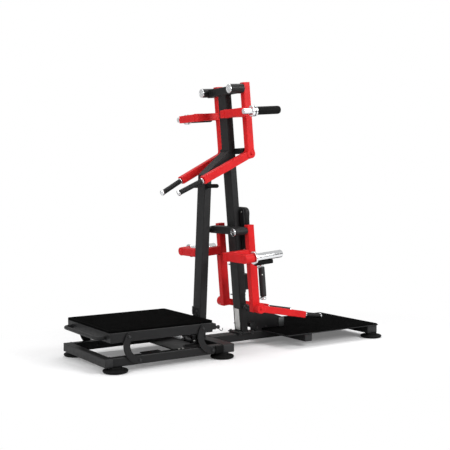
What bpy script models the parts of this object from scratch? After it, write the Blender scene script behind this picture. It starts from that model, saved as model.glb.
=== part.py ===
"""Standing lateral raise machine: two stations back to back on one frame, four swinging arms.

Metres, +Z up. +X runs from the lifting platform to the low deck, and the machine is symmetric
about Y = 0 except for its latch and knob. The tall column leans back by LEAN, and everything
hung on it is drawn in its own frame: U square to the column, W up along it.
"""

from math import atan2, cos, pi, radians, sin, sqrt, tan

import bmesh
import bpy
from mathutils import Matrix, Vector

# overall
REAR_END = -1.076
FRONT_END = 1.075
PLATFORM_HALF = 0.308
RAIL_INSET = 0.003
BASE_HALF = PLATFORM_HALF - RAIL_INSET
FOOT_HEIGHT = 0.035
FOOT_RADIUS = 0.075
FOOT_INSET = 0.018
TUBE = 0.050
TUBE_TALL = 0.053
GAP = 0.0003
EDGE = 0.004

# frame
CROSS_X = -0.220
CROSS_WIDE = 0.084
SPINE_HALF = 0.045
FRONT_CROSS_X = 0.440
FRONT_CROSS_WIDE = 0.063
END_CROSS_WIDE = 0.090
DECK_START = 0.250
DECK_HALF = 0.320
DECK_THICK = 0.014
BRACE_LEG = 0.190
MID_PLATE_LONG = 0.228
MID_PLATE_THICK = 0.008

# tall column
LEAN = radians(5.0)
COLUMN_FRONT = 0.0792
COLUMN_DEEP = 0.050
COLUMN_HALF = 0.045
COLUMN_TOP = 1.698
FOOT_PLATE = 0.008
FOOT_PLATE_HALF = 0.065
STOP_BAR = (1.302, 1.341)

# short upright and the beam between the two
UPRIGHT_FRONT = -0.279
UPRIGHT_LEAN = 0.0458
UPRIGHT_DEEP = 0.052
BEAM_CORNER_Z = 1.162
BEAM_SLOPE = 0.86
BEAM_THICK = 0.050
STOP_RADIUS = 0.0135
STOP_HALF = 0.165
STOP_Z = 1.089

# arm pivots
ARM_SPREAD = 0.165
LOWER_SPREAD = 0.174
BEARING_RADIUS = 0.0300
LOWER_BEARING_RADIUS = 0.0215
AXLE_RADIUS = 0.015
CAP_RADIUS = 0.029
LOWER_CAP_RADIUS = 0.027
CAP_THICK = 0.008
UPPER_AXLE_W = COLUMN_TOP + 0.031
LOWER_AXLE_W = 0.797
UPPER_BEARING = (-0.045, 0.0582)
LOWER_BEARING = (-0.100, 0.0027)

# arms
ARM_WIDE = 0.045
ARM_DEEP = 0.050
UPPER_ARM_TOP = UPPER_AXLE_W + 0.038
UPPER_HUB_W = 1.300
UPPER_BRANCH_W = 1.567
UPPER_BRANCH_U = -0.113
UPPER_BRANCH_OUT = 0.380
LOWER_ARM_TOP = 0.833
LOWER_ARM_BOTTOM = 0.253
LOWER_ARM_STEP = 0.612
LOWER_ARM_DEEP = 0.050
LOWER_ARM_DEEPER = 0.057
LOWER_BRANCH_W = 0.646
LOWER_BRANCH_U = -0.182
LOWER_BRANCH_OUT = 0.420
LOWER_HUB_U = 0.0315
LOWER_ARM_OUT = 0.004
LOWER_ARM_FORWARD = 0.006
LOWER_HUB_W = 0.277
BOSS_RADIUS = 0.0285
BOSS_LENGTH = 0.070
BRANCH_TALL = 0.050
HUB_RADIUS = 0.031
HORN_RADIUS = 0.018
SLEEVE_RADIUS = 0.026
SLEEVE_LENGTH = 0.187
LOWER_HORN_LENGTH = 0.222
KEEPER_LENGTH = 0.135
KEEPER_THICK = 0.026
GRIP_RADIUS = 0.0165
GRIP_LENGTH = 0.168
HANDLE_CORE = 0.011

# lifting platform
PLATFORM_LENGTH = 0.702
PLATFORM_END = -0.340
PLATFORM_TOP = 0.236
RIM_TALL = 0.060
PAN_THICK = 0.008
MAT_THICK = 0.0147
LINK_DROP = 0.1445
LINK_BACK = 0.071
LINK_FROM_END = 0.076
LINK_SPACING = 0.510
LATCH_INSET = 0.028
LATCH_Y = LATCH_INSET - PLATFORM_HALF
LATCH_Z = 0.199
PIN_RADIUS = 0.006
LINK_BULGE = 0.045
LINK_HALF = 0.0205
LINK_THICK = 0.010
HANDLE_REACH = 0.057
SHAFT_RADIUS = 0.010
SPRING_FOOT = (-0.295, 0.068)
SPRING_HEAD = (-0.620, 0.180)
SPRING_BODY = 0.248
SPRING_LUG = 0.040

# pads
PAD_HALF = 0.100
PAD_LOW = 0.630
PAD_HIGH = 0.946
PAD_THICK = 0.047
BOARD_THICK = 0.008
ROLLER_RADIUS = 0.022
ROLLER_LENGTH = 0.205
ROLLER_W = 0.430

FLOOR_TUBE = FOOT_HEIGHT + TUBE_TALL


def clear_scene():
    for obj in list(bpy.data.objects):
        bpy.data.objects.remove(obj, do_unlink=True)


def material(name, colour, roughness, metallic):
    made = bpy.data.materials.new(name)
    made.use_nodes = True
    shader = made.node_tree.nodes["Principled BSDF"]
    shader.inputs["Base Color"].default_value = (*colour, 1.0)
    shader.inputs["Roughness"].default_value = roughness
    shader.inputs["Metallic"].default_value = metallic
    return made


def leaning(u, y, w):
    """World place of a point given in the tall column's own frame."""
    return Vector((COLUMN_FRONT + u * cos(LEAN) - w * sin(LEAN), y, u * sin(LEAN) + w * cos(LEAN)))


def leaning_matrix():
    return Matrix.Translation((COLUMN_FRONT, 0, 0)) @ Matrix.Rotation(-LEAN, 4, "Y")


def facing(start, end):
    """A frame at start with +Z to end and +Y kept as level as it can be."""
    along = (end - start).normalized()
    side = Vector((1, 0, 0)) if abs(along.y) > 0.9 else Vector((0, 1, 0))
    side = (side - along * side.dot(along)).normalized()
    over = side.cross(along)
    frame = Matrix((over, side, along)).transposed().to_4x4()
    return Matrix.Translation(start) @ frame


def block(x0, x1, y0, y1, z0, z1, edge=0.0, where=None):
    bm = bmesh.new()
    bmesh.ops.create_cube(bm, size=1.0)
    for vert in bm.verts:
        vert.co = Vector((
            x0 + (vert.co.x + 0.5) * (x1 - x0),
            y0 + (vert.co.y + 0.5) * (y1 - y0),
            z0 + (vert.co.z + 0.5) * (z1 - z0),
        ))
    if edge:
        bmesh.ops.bevel(bm, geom=bm.edges[:], offset=edge, segments=2, profile=0.5, affect="EDGES")
    if where is not None:
        bmesh.ops.transform(bm, matrix=where, verts=bm.verts)
    return bm


def tube_bar(x0, x1, y0, y1, z0, z1, axis, edge=EDGE, where=None):
    """A rectangular tube's outer shape: only the four long edges are rounded."""
    bm = block(x0, x1, y0, y1, z0, z1)
    long_edges = [e for e in bm.edges if abs((e.verts[0].co - e.verts[1].co).normalized()[axis]) > 0.9]
    bmesh.ops.bevel(bm, geom=long_edges, offset=edge, segments=2, profile=0.5, affect="EDGES")
    if where is not None:
        bmesh.ops.transform(bm, matrix=where, verts=bm.verts)
    return bm


def turned(profile, where, steps=20):
    """A solid of revolution about local Z: profile is (radius, height) from axis to axis."""
    bm = bmesh.new()
    rings = []
    for radius, height in profile:
        if radius < 1e-6:
            rings.append([bm.verts.new((0, 0, height))])
            continue
        ring = []
        for i in range(steps):
            angle = 2 * pi * i / steps
            ring.append(bm.verts.new((radius * cos(angle), radius * sin(angle), height)))
        rings.append(ring)
    for low, high in zip(rings, rings[1:]):
        for i in range(steps):
            j = (i + 1) % steps
            if len(low) == 1 and len(high) == 1:
                continue
            if len(low) == 1:
                bm.faces.new((low[0], high[j], high[i]))
            elif len(high) == 1:
                bm.faces.new((low[i], low[j], high[0]))
            else:
                bm.faces.new((low[i], low[j], high[j], high[i]))
    bmesh.ops.recalc_face_normals(bm, faces=bm.faces)
    bmesh.ops.transform(bm, matrix=where, verts=bm.verts)
    return bm


def rod(start, end, radius, edge=0.0, steps=20):
    length = (end - start).length
    profile = [(0, 0), (radius, 0), (radius, length), (0, length)]
    if edge:
        profile = [(0, 0), (radius - edge, 0), (radius, edge)]
        profile += [(radius, length - edge), (radius - edge, length), (0, length)]
    return turned(profile, facing(start, end), steps)


def hollow(start, end, outer, inner, edge=0.001, steps=20):
    """A sleeve open at both ends: the profile goes round and closes on itself."""
    length = (end - start).length
    ring = [(inner, 0), (outer - edge, 0), (outer, edge)]
    ring += [(outer, length - edge), (outer - edge, length), (inner, length)]
    bm = bmesh.new()
    loops = []
    for radius, height in ring:
        loops.append([
            bm.verts.new((radius * cos(2 * pi * i / steps), radius * sin(2 * pi * i / steps), height))
            for i in range(steps)
        ])
    for k in range(len(loops)):
        low, high = loops[k], loops[(k + 1) % len(loops)]
        for i in range(steps):
            j = (i + 1) % steps
            bm.faces.new((low[i], low[j], high[j], high[i]))
    bmesh.ops.recalc_face_normals(bm, faces=bm.faces)
    bmesh.ops.transform(bm, matrix=facing(start, end), verts=bm.verts)
    return bm


def prism(outline, y0, y1, edge=0.0):
    """An outline in X and Z carried from y0 to y1."""
    bm = bmesh.new()
    near = [bm.verts.new((x, y0, z)) for x, z in outline]
    far = [bm.verts.new((x, y1, z)) for x, z in outline]
    bm.faces.new(near)
    bm.faces.new(far[::-1])
    sides = []
    for i in range(len(outline)):
        j = (i + 1) % len(outline)
        bm.faces.new((near[i], far[i], far[j], near[j]))
        sides.append((near[i], near[j]))
        sides.append((far[i], far[j]))
    bmesh.ops.recalc_face_normals(bm, faces=bm.faces)
    if edge:
        rims = [e for pair in sides for e in pair[0].link_edges if pair[1] in e.verts]
        bmesh.ops.bevel(bm, geom=rims, offset=edge, segments=2, profile=0.5, affect="EDGES")
    return bm


def bent_bar(points, radius, steps=12):
    """A round bar along a polyline of world points, flat at both ends."""
    bm = bmesh.new()
    turn = 2 * pi / steps
    loops = []
    for i, point in enumerate(points):
        before = points[max(i - 1, 0)]
        after = points[min(i + 1, len(points) - 1)]
        frame = facing(point, point + (after - before))
        loops.append([
            bm.verts.new(frame @ Vector((radius * cos(turn * k), radius * sin(turn * k), 0)))
            for k in range(steps)
        ])
    for low, high in zip(loops, loops[1:]):
        for k in range(steps):
            j = (k + 1) % steps
            bm.faces.new((low[k], low[j], high[j], high[k]))
    bm.faces.new(loops[0][::-1])
    bm.faces.new(loops[-1])
    bmesh.ops.recalc_face_normals(bm, faces=bm.faces)
    return bm


def helper(bm):
    mesh = bpy.data.meshes.new("helper")
    bm.to_mesh(mesh)
    bm.free()
    obj = bpy.data.objects.new("helper", mesh)
    bpy.context.scene.collection.objects.link(obj)
    obj.hide_render = True
    obj.display_type = "WIRE"
    return obj


def piece(name, paint, shapes, cuts=(), pivot=(0, 0, 0), adds=()):
    """One named solid: the shapes joined, the cuts taken out, the adds joined after that."""
    first = helper(shapes[0])
    others = [(helper(bm), "UNION") for bm in shapes[1:]]
    others += [(helper(bm), "DIFFERENCE") for bm in cuts]
    others += [(helper(bm), "UNION") for bm in adds]
    for other, operation in others:
        step = first.modifiers.new(operation, "BOOLEAN")
        step.operation = operation
        step.solver = "EXACT"
        step.object = other
    bpy.context.view_layer.update()
    graph = bpy.context.evaluated_depsgraph_get()
    mesh = bpy.data.meshes.new_from_object(first.evaluated_get(graph))
    for other, _ in others:
        bpy.data.objects.remove(other, do_unlink=True)
    bpy.data.objects.remove(first, do_unlink=True)
    bm = bmesh.new()
    bm.from_mesh(mesh)
    bmesh.ops.remove_doubles(bm, verts=bm.verts, dist=0.00002)
    bmesh.ops.dissolve_limit(
        bm, angle_limit=radians(0.2), verts=bm.verts, edges=bm.edges, use_dissolve_boundaries=False
    )
    bmesh.ops.triangulate(bm, faces=[f for f in bm.faces if len(f.verts) > 4])
    bmesh.ops.translate(bm, verts=bm.verts, vec=-Vector(pivot))
    bm.to_mesh(mesh)
    bm.free()
    mesh.name = name
    mesh.materials.clear()
    mesh.materials.append(paint)
    mesh.polygons.foreach_set("use_smooth", [True] * len(mesh.polygons))
    mesh.set_sharp_from_angle(angle=radians(32))
    obj = bpy.data.objects.new(name, mesh)
    obj.location = pivot
    bpy.context.scene.collection.objects.link(obj)
    return obj


def side_sign(side):
    return -1 if side == "near" else 1


def span(sign, inner, outer):
    """A pair of Y values in rising order for one side of the machine."""
    return sorted((sign * inner, sign * outer))


def link_places():
    """(lower x, upper x) of the two link pairs, and their two heights."""
    low_z = FOOT_HEIGHT + TUBE_TALL / 2
    first = PLATFORM_END - LINK_FROM_END
    uppers = (first - LINK_SPACING, first)
    return [(x + LINK_BACK, x) for x in uppers], low_z, low_z + LINK_DROP


def add_rear_frame(paint):
    z0, z1 = FOOT_HEIGHT, FLOOR_TUBE
    rail_end = CROSS_X - CROSS_WIDE / 2 - GAP
    inner = BASE_HALF - TUBE
    shapes = [tube_bar(REAR_END, REAR_END + TUBE, -BASE_HALF, BASE_HALF, z0, z1, 1)]
    for sign in (-1, 1):
        y0, y1 = span(sign, inner, BASE_HALF)
        shapes.append(tube_bar(REAR_END + TUBE - 0.012, rail_end, y0, y1, z0, z1, 0))
    plate = z0 + 0.004
    reach = inner + 0.005
    start = rail_end - MID_PLATE_LONG
    shapes.append(block(start, rail_end, -reach, reach, plate, plate + MID_PLATE_THICK))
    pairs, low_z, _ = link_places()
    cuts = []
    for low_x, _ in pairs:
        start = Vector((low_x, -BASE_HALF - 0.02, low_z))
        cuts.append(rod(start, start + Vector((0, 2 * BASE_HALF + 0.04, 0)), SHAFT_RADIUS + GAP))
    piece("rear_frame", paint, shapes, cuts)


def add_centre_cross(paint):
    half = CROSS_WIDE / 2
    y = BASE_HALF + 0.005
    shapes = [tube_bar(CROSS_X - half, CROSS_X + half, -y, y, FOOT_HEIGHT, FLOOR_TUBE, 1)]
    piece("centre_cross", paint, shapes)


def add_spine_frame(paint):
    z0, z1 = FOOT_HEIGHT, FLOOR_TUBE
    start = CROSS_X + CROSS_WIDE / 2 + GAP
    half = FRONT_CROSS_WIDE / 2
    end = FRONT_END - END_CROSS_WIDE
    reach = BASE_HALF - 0.003
    shapes = [
        tube_bar(start, end + 0.012, -SPINE_HALF, SPINE_HALF, z0, z1, 0),
        tube_bar(FRONT_CROSS_X - half, FRONT_CROSS_X + half, -reach, reach, z0, z1, 1),
        tube_bar(end, FRONT_END, -BASE_HALF, BASE_HALF, z0, z1, 1),
    ]
    piece("spine_frame", paint, shapes)


def add_low_deck(paint):
    z = FLOOR_TUBE + GAP
    shape = block(DECK_START, FRONT_END, -DECK_HALF, DECK_HALF, z, z + DECK_THICK, 0.0035)
    piece("low_deck", paint, [shape])


def add_feet(paint):
    r = FOOT_RADIUS
    h = FOOT_HEIGHT - GAP
    profile = [(0, 0), (r * 0.88, 0), (r, 0.006), (r, 0.013), (r * 0.88, 0.021)]
    profile += [(r * 0.62, 0.025), (r * 0.54, h), (0, h)]
    ends = (REAR_END + r, CROSS_X - 0.034, FRONT_END - 0.0395)
    for place, x in zip(("rear", "centre", "front"), ends):
        for side in ("near", "far"):
            y = side_sign(side) * (BASE_HALF - FOOT_INSET)
            shape = turned(profile, Matrix.Translation((x, y, 0)), 24)
            piece(f"foot_{place}_{side}", paint, [shape])


def column_foot():
    """X of the foot plate's middle, and the height of the plate's top."""
    top = FLOOR_TUBE + GAP + FOOT_PLATE
    return COLUMN_FRONT + COLUMN_DEEP / 2 - top * tan(LEAN), top


def add_tall_column(paint):
    frame = leaning_matrix()
    shapes = [tube_bar(0, COLUMN_DEEP, -COLUMN_HALF, COLUMN_HALF, 0.02, COLUMN_TOP - GAP, 2, EDGE, frame)]
    middle, top = column_foot()
    bmesh.ops.bisect_plane(
        shapes[0],
        geom=shapes[0].verts[:] + shapes[0].edges[:] + shapes[0].faces[:],
        plane_co=(0, 0, top - 0.003),
        plane_no=(0, 0, -1),
        clear_outer=True,
    )
    bmesh.ops.holes_fill(shapes[0], edges=shapes[0].edges[:])
    bmesh.ops.recalc_face_normals(shapes[0], faces=shapes[0].faces)
    ends = middle - FOOT_PLATE_HALF, middle + FOOT_PLATE_HALF
    shapes.append(block(ends[0], ends[1], -0.070, 0.070, FLOOR_TUBE + GAP, top, 0.002))
    back = COLUMN_DEEP
    reach = ARM_SPREAD - 0.0298
    shapes.append(block(back - 0.004, back + 0.052, -reach, reach, STOP_BAR[0], STOP_BAR[1], 0.003, frame))
    shapes.append(block(back - 0.004, back + 0.044, -0.040, 0.040, 0.378, 0.486, 0.003, frame))
    piece("tall_column", paint, shapes)


def add_column_brace(paint):
    def back(z):
        return COLUMN_FRONT + COLUMN_DEEP / cos(LEAN) - z * tan(LEAN) + GAP * 2

    low = FLOOR_TUBE + DECK_THICK + 2 * GAP
    deck, floor = DECK_START - 2 * GAP, FLOOR_TUBE + GAP
    outline = [(back(low + 0.048), low + 0.048), (back(low + 0.183), low + 0.183), (0.432, low + 0.064)]
    outline += [(0.432, low), (deck, low), (deck, floor), (BRACE_LEG, floor), (BRACE_LEG, low + 0.048)]
    piece("column_brace", paint, [prism(outline, -0.030, 0.030, 0.003)])


def upright_front(z):
    return UPRIGHT_FRONT + UPRIGHT_LEAN * z


def beam_height(x, below):
    """Height of the beam's top edge at x, less a drop measured straight down."""
    return BEAM_CORNER_Z + BEAM_SLOPE * (x - upright_front(BEAM_CORNER_Z)) - below


def meet_upright(offset, below):
    """Where a line parallel to the upright's front face crosses the beam's edge."""
    z = BEAM_CORNER_Z
    for _ in range(60):
        z = beam_height(upright_front(z) + offset, below)
    return upright_front(z) + offset, z


def meet_column(below):
    z = BEAM_CORNER_Z
    for _ in range(60):
        x = COLUMN_FRONT - z * tan(LEAN) - GAP * 1.5
        z = beam_height(x, below)
    return x, z


def stop_place():
    return upright_front(STOP_Z) + UPRIGHT_DEEP * 0.42


def add_short_upright(paint):
    drop = BEAM_THICK * sqrt(1 + BEAM_SLOPE**2)
    foot = FLOOR_TUBE + GAP
    outline = [(upright_front(foot), foot), (upright_front(foot) + UPRIGHT_DEEP, foot)]
    outline += [meet_upright(UPRIGHT_DEEP, drop + GAP * 1.5), meet_upright(0, drop + GAP * 1.5)]
    shapes = [prism(outline, -COLUMN_HALF, COLUMN_HALF)]
    plate = upright_front(0.265)
    shapes.append(block(plate - 0.011, plate + 0.01, -0.040, 0.040, 0.238, 0.292, 0.003))
    x = stop_place()
    reach = COLUMN_HALF + 0.02
    cuts = [rod(Vector((x, -reach, STOP_Z)), Vector((x, reach, STOP_Z)), STOP_RADIUS + GAP)]
    piece("short_upright", paint, shapes, cuts)


def add_beam(paint):
    drop = BEAM_THICK * sqrt(1 + BEAM_SLOPE**2)
    outline = [meet_upright(0, drop), meet_column(drop), meet_column(0), meet_upright(0, 0)]
    piece("diagonal_beam", paint, [prism(outline, -COLUMN_HALF, COLUMN_HALF)])


def add_arm_stop(rubber):
    x = stop_place()
    start, end = Vector((x, -STOP_HALF, STOP_Z)), Vector((x, STOP_HALF, STOP_Z))
    piece("arm_stop_rod", rubber, [rod(start, end, STOP_RADIUS, 0.004, 20)])


def add_bearing_beam(name, paint, spread, axle_w, box, bearing, radius):
    """A cross tube, box being its U and W extents, with a housing at each end."""
    u0, u1, low, high = box
    frame = leaning_matrix()
    shapes = [tube_bar(u0, u1, -spread, spread, low, high, 1, EDGE, frame)]
    cuts = []
    for y in (-spread, spread):
        ends = [leaning(u, y, axle_w) for u in bearing]
        shapes.append(rod(ends[0], ends[1], radius, 0.0015))
        longer = [leaning(bearing[0] - 0.02, y, axle_w), leaning(bearing[1] + 0.02, y, axle_w)]
        cuts.append(rod(longer[0], longer[1], AXLE_RADIUS + GAP))
    piece(name, paint, shapes, cuts)


def add_axle_cap(name, chrome, y, axle_w, bearing, radius):
    end = leaning(bearing[0] - GAP, y, axle_w)
    start = leaning(bearing[0] - GAP - CAP_THICK, y, axle_w)
    piece(name, chrome, [rod(start, end, radius, 0.002)], pivot=leaning(0, y, axle_w))


def arm_span(sign, spread):
    return span(sign, spread - 0.028, spread - 0.028 + ARM_WIDE)


def add_upper_arm(paint, side):
    sign = side_sign(side)
    y0, y1 = arm_span(sign, ARM_SPREAD)
    frame = leaning_matrix()
    u0 = UPPER_BEARING[1] + GAP
    u1 = u0 + ARM_DEEP
    half = BRANCH_TALL / 2
    corner = UPPER_BRANCH_U
    wide = ARM_WIDE
    shapes = [tube_bar(u0, u1, y0, y1, UPPER_HUB_W, UPPER_ARM_TOP, 2, EDGE, frame)]
    low, high = UPPER_BRANCH_W - half, UPPER_BRANCH_W + half
    y_in, y_out = y0 + 0.0009, y1 - 0.0009
    bottom, top = low + 0.0006, high - 0.0006
    shapes.append(tube_bar(corner + 0.0006, u0 + 0.008, y_in, y_out, bottom, top, 0, EDGE, frame))
    inner = min(abs(y0), abs(y1))
    b0, b1 = span(sign, inner + 0.0006, UPPER_BRANCH_OUT)
    shapes.append(tube_bar(corner, corner + wide, b0, b1, low, high, 1, EDGE, frame))
    hub = (u0 + u1) / 2
    hub_ends = [leaning(hub, y, UPPER_HUB_W) for y in (y0 - 0.001, y1 + 0.001)]
    shapes.append(rod(hub_ends[0], hub_ends[1], HUB_RADIUS, 0.002))
    bolt = [leaning(hub, sign * (inner + wide + rise), UPPER_HUB_W) for rise in (0, 0.006)]
    shapes.append(rod(bolt[0], bolt[1], 0.009, 0.0015, 16))
    axle = sign * ARM_SPREAD
    ends = [leaning(u, axle, UPPER_AXLE_W) for u in (UPPER_BEARING[0], u0 + 0.01)]
    shapes.append(rod(ends[0], ends[1], AXLE_RADIUS))
    piece(f"upper_arm_{side}", paint, shapes, pivot=leaning(0, axle, UPPER_AXLE_W))


def upper_hub(sign):
    centre = ARM_SPREAD - 0.028 + ARM_WIDE / 2
    return leaning(UPPER_BEARING[1] + GAP + ARM_DEEP / 2, sign * centre, UPPER_HUB_W)


def upper_grip(sign):
    """Start of the upper handle and its direction."""
    hub = upper_hub(sign)
    start = hub + Vector((-0.352, -sign * 0.0215, -0.178))
    return start, Vector((-0.163, -sign * 0.034, -0.083)).normalized()


def add_incline(paint, side):
    sign = side_sign(side)
    hub = upper_hub(sign)
    start, _ = upper_grip(sign)
    along = (start - hub).normalized()
    clear = HUB_RADIUS + 0.0018
    frame = facing(hub + along * clear, start)
    length = (start - hub).length - clear - 0.004
    half, wide = ARM_DEEP / 2, ARM_WIDE / 2
    shape = tube_bar(-half, half, -wide, wide, 0, length, 2, EDGE, frame)
    piece(f"upper_incline_{side}", paint, [shape], pivot=leaning(0, sign * ARM_SPREAD, UPPER_AXLE_W))


def add_handle(name, chrome, rubber, side, start, along, pivot):
    """A rubber grip on a steel core with a washer at its root and a cap at its end."""
    washer, cap = 0.008, 0.013
    first = start + along * (0.001 + washer)
    length = GRIP_LENGTH + 2 * GAP
    last = first + along * length
    big, core = GRIP_RADIUS + 0.0025, HANDLE_CORE
    top = washer + length
    profile = [(0, 0), (big - 0.0015, 0), (big, 0.0015), (big, washer - 0.0015)]
    profile += [(big - 0.0015, washer), (core, washer), (core, top), (big - 0.0015, top)]
    profile += [(big, top + 0.0015), (big, top + cap - 0.005), (big * 0.88, top + cap - 0.0015)]
    profile += [(big * 0.6, top + cap), (0, top + cap)]
    shape = turned(profile, facing(start + along * 0.001, last), 16)
    piece(f"{name}_handle_{side}", chrome, [shape], pivot=pivot)
    ends = first + along * GAP, last - along * GAP
    grip = hollow(ends[0], ends[1], GRIP_RADIUS, HANDLE_CORE + GAP, steps=16)
    piece(f"{name}_grip_{side}", rubber, [grip], pivot=pivot)


def add_upper_horn(chrome, rubber, side):
    sign = side_sign(side)
    y = sign * (UPPER_BRANCH_OUT + HORN_RADIUS + GAP)
    u0 = UPPER_BRANCH_U
    pivot = leaning(0, sign * ARM_SPREAD, UPPER_AXLE_W)
    w = UPPER_BRANCH_W
    collar = u0 + 0.058
    seat = collar + 0.037
    end = seat + SLEEVE_LENGTH
    c0, c1, tip, core, big = collar - u0, seat - u0, end - 0.022 - u0, HORN_RADIUS, SLEEVE_RADIUS + 0.009
    profile = [(0, 0), (core - 0.002, 0), (core, 0.002), (core, c0), (big - 0.006, c0), (big, c0 + 0.006)]
    profile += [(big, c1 - 0.006), (big - 0.006, c1), (core, c1), (core, tip), (0, tip)]
    shape = turned(profile, facing(leaning(u0, y, w), leaning(end, y, w)))
    piece(f"upper_horn_{side}", chrome, [shape], pivot=pivot)
    r, length = SLEEVE_RADIUS, end - seat - GAP
    bore = HORN_RADIUS + GAP
    profile = [(bore, 0), (r - 0.001, 0), (r, 0.001), (r, length - 0.014), (r * 0.93, length - 0.006)]
    profile += [(r * 0.72, length), (0, length), (0, length - 0.014), (bore, length - 0.014), (bore, 0)]
    sleeve = turned(profile, facing(leaning(seat + GAP, y, w), leaning(end, y, w)))
    bmesh.ops.remove_doubles(sleeve, verts=sleeve.verts, dist=0.00001)
    bmesh.ops.recalc_face_normals(sleeve, faces=sleeve.faces)
    piece(f"upper_sleeve_{side}", rubber, [sleeve], pivot=pivot)


def add_lower_arm(paint, side):
    sign = side_sign(side)
    y0, y1 = arm_span(sign, LOWER_SPREAD + 0.005)
    frame = leaning_matrix()
    u0 = LOWER_BEARING[1] + GAP
    deep = LOWER_ARM_DEEPER
    half = BRANCH_TALL / 2 + 0.0025
    corner = LOWER_BRANCH_U
    step = LOWER_ARM_STEP
    thin = u0 + LOWER_ARM_DEEP
    shapes = [tube_bar(u0 + 0.0006, thin, y0, y1, step - 0.01, LOWER_ARM_TOP, 2, EDGE, frame)]
    out = sign * LOWER_ARM_OUT
    y_in, y_out = y0 + out - 0.0006, y1 + out + 0.0006
    face = u0 - LOWER_ARM_FORWARD
    shapes.append(tube_bar(face, face + deep, y_in, y_out, LOWER_ARM_BOTTOM, step, 2, EDGE, frame))
    low, high = LOWER_BRANCH_W - half, LOWER_BRANCH_W + half
    y_in, y_out = y0 + 0.0009, y1 - 0.0009
    bottom, top = low + 0.0006, high - 0.0006
    shapes.append(tube_bar(corner + 0.0018, u0 + 0.008, y_in, y_out, bottom, top, 0, EDGE, frame))
    inner = min(abs(y0), abs(y1))
    boss = LOWER_BRANCH_OUT - BOSS_RADIUS
    b0, b1 = span(sign, inner + 0.0006, boss)
    shapes.append(tube_bar(corner + 0.0012, corner + ARM_WIDE, b0, b1, low, high, 1, EDGE, frame))
    ends = [leaning(u, sign * boss, LOWER_BRANCH_W) for u in (corner, corner + BOSS_LENGTH)]
    shapes.append(rod(ends[0], ends[1], BOSS_RADIUS, 0.002))
    axle = sign * LOWER_SPREAD
    ends = [leaning(u, axle, LOWER_AXLE_W) for u in (LOWER_BEARING[0], u0 + 0.01)]
    shapes.append(rod(ends[0], ends[1], AXLE_RADIUS))
    piece(f"lower_arm_{side}", paint, shapes, pivot=leaning(0, axle, LOWER_AXLE_W))


def lower_hub(sign):
    outer = LOWER_SPREAD - 0.028 + ARM_WIDE + 0.005 + LOWER_ARM_OUT + 0.0006 + GAP
    return leaning(LOWER_HUB_U, sign * outer, LOWER_HUB_W)


def add_forward_tube(paint, side):
    sign = side_sign(side)
    hub = lower_hub(sign)
    out = Vector((0, sign, 0))
    middle = hub + out * (ARM_WIDE / 2)
    end = middle + Vector((0.3847, -sign * 0.010, -0.0741))
    frame = facing(middle, end)
    length = (end - middle).length
    shapes = [rod(hub, hub + out * ARM_WIDE, HUB_RADIUS + 0.002, 0.002)]
    half = ARM_WIDE / 2
    shapes.append(tube_bar(-half, half, -half + 0.001, half - 0.001, 0.006, length, 2, EDGE, frame))
    shapes.append(rod(hub + out * ARM_WIDE, hub + out * (ARM_WIDE + 0.006), 0.009, 0.0015, 16))
    piece(f"lower_forward_{side}", paint, shapes, pivot=leaning(0, sign * LOWER_SPREAD, LOWER_AXLE_W))
    return end


def lower_grip(sign, end):
    along = Vector((0.165, -sign * 0.040, -0.028)).normalized()
    return end + along * 0.006, along


def add_lower_horn(chrome, side):
    sign = side_sign(side)
    y = sign * (LOWER_BRANCH_OUT - BOSS_RADIUS)
    u0 = LOWER_BRANCH_U + BOSS_LENGTH + GAP
    w = LOWER_BRANCH_W
    radius = SLEEVE_RADIUS - 0.001
    big, tip = radius + 0.017, LOWER_HORN_LENGTH
    profile = [(0, 0), (big - 0.0015, 0), (big, 0.0015), (big, 0.0105), (big - 0.0015, 0.012)]
    profile += [(radius, 0.012), (radius, tip - 0.003), (radius - 0.003, tip), (0, tip)]
    shape = turned(profile, facing(leaning(u0, y, w), leaning(u0 + 1, y, w)))
    piece(f"lower_horn_{side}", chrome, [shape], pivot=leaning(0, sign * LOWER_SPREAD, LOWER_AXLE_W))


def add_horn_keeper(rubber, side):
    """Flat bar under the lower horn, against its collar."""
    y = side_sign(side) * (LOWER_BRANCH_OUT - BOSS_RADIUS)
    u0 = LOWER_BRANCH_U + BOSS_LENGTH + 0.012 + 2 * GAP
    top = LOWER_BRANCH_W - SLEEVE_RADIUS + 0.001 - GAP
    low = top - KEEPER_THICK
    shape = block(u0, u0 + KEEPER_LENGTH, y - 0.013, y + 0.013, low, top, 0.004, leaning_matrix())
    pivot = leaning(0, side_sign(side) * LOWER_SPREAD, LOWER_AXLE_W)
    piece(f"horn_keeper_{side}", rubber, [shape], pivot=pivot)


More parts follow.
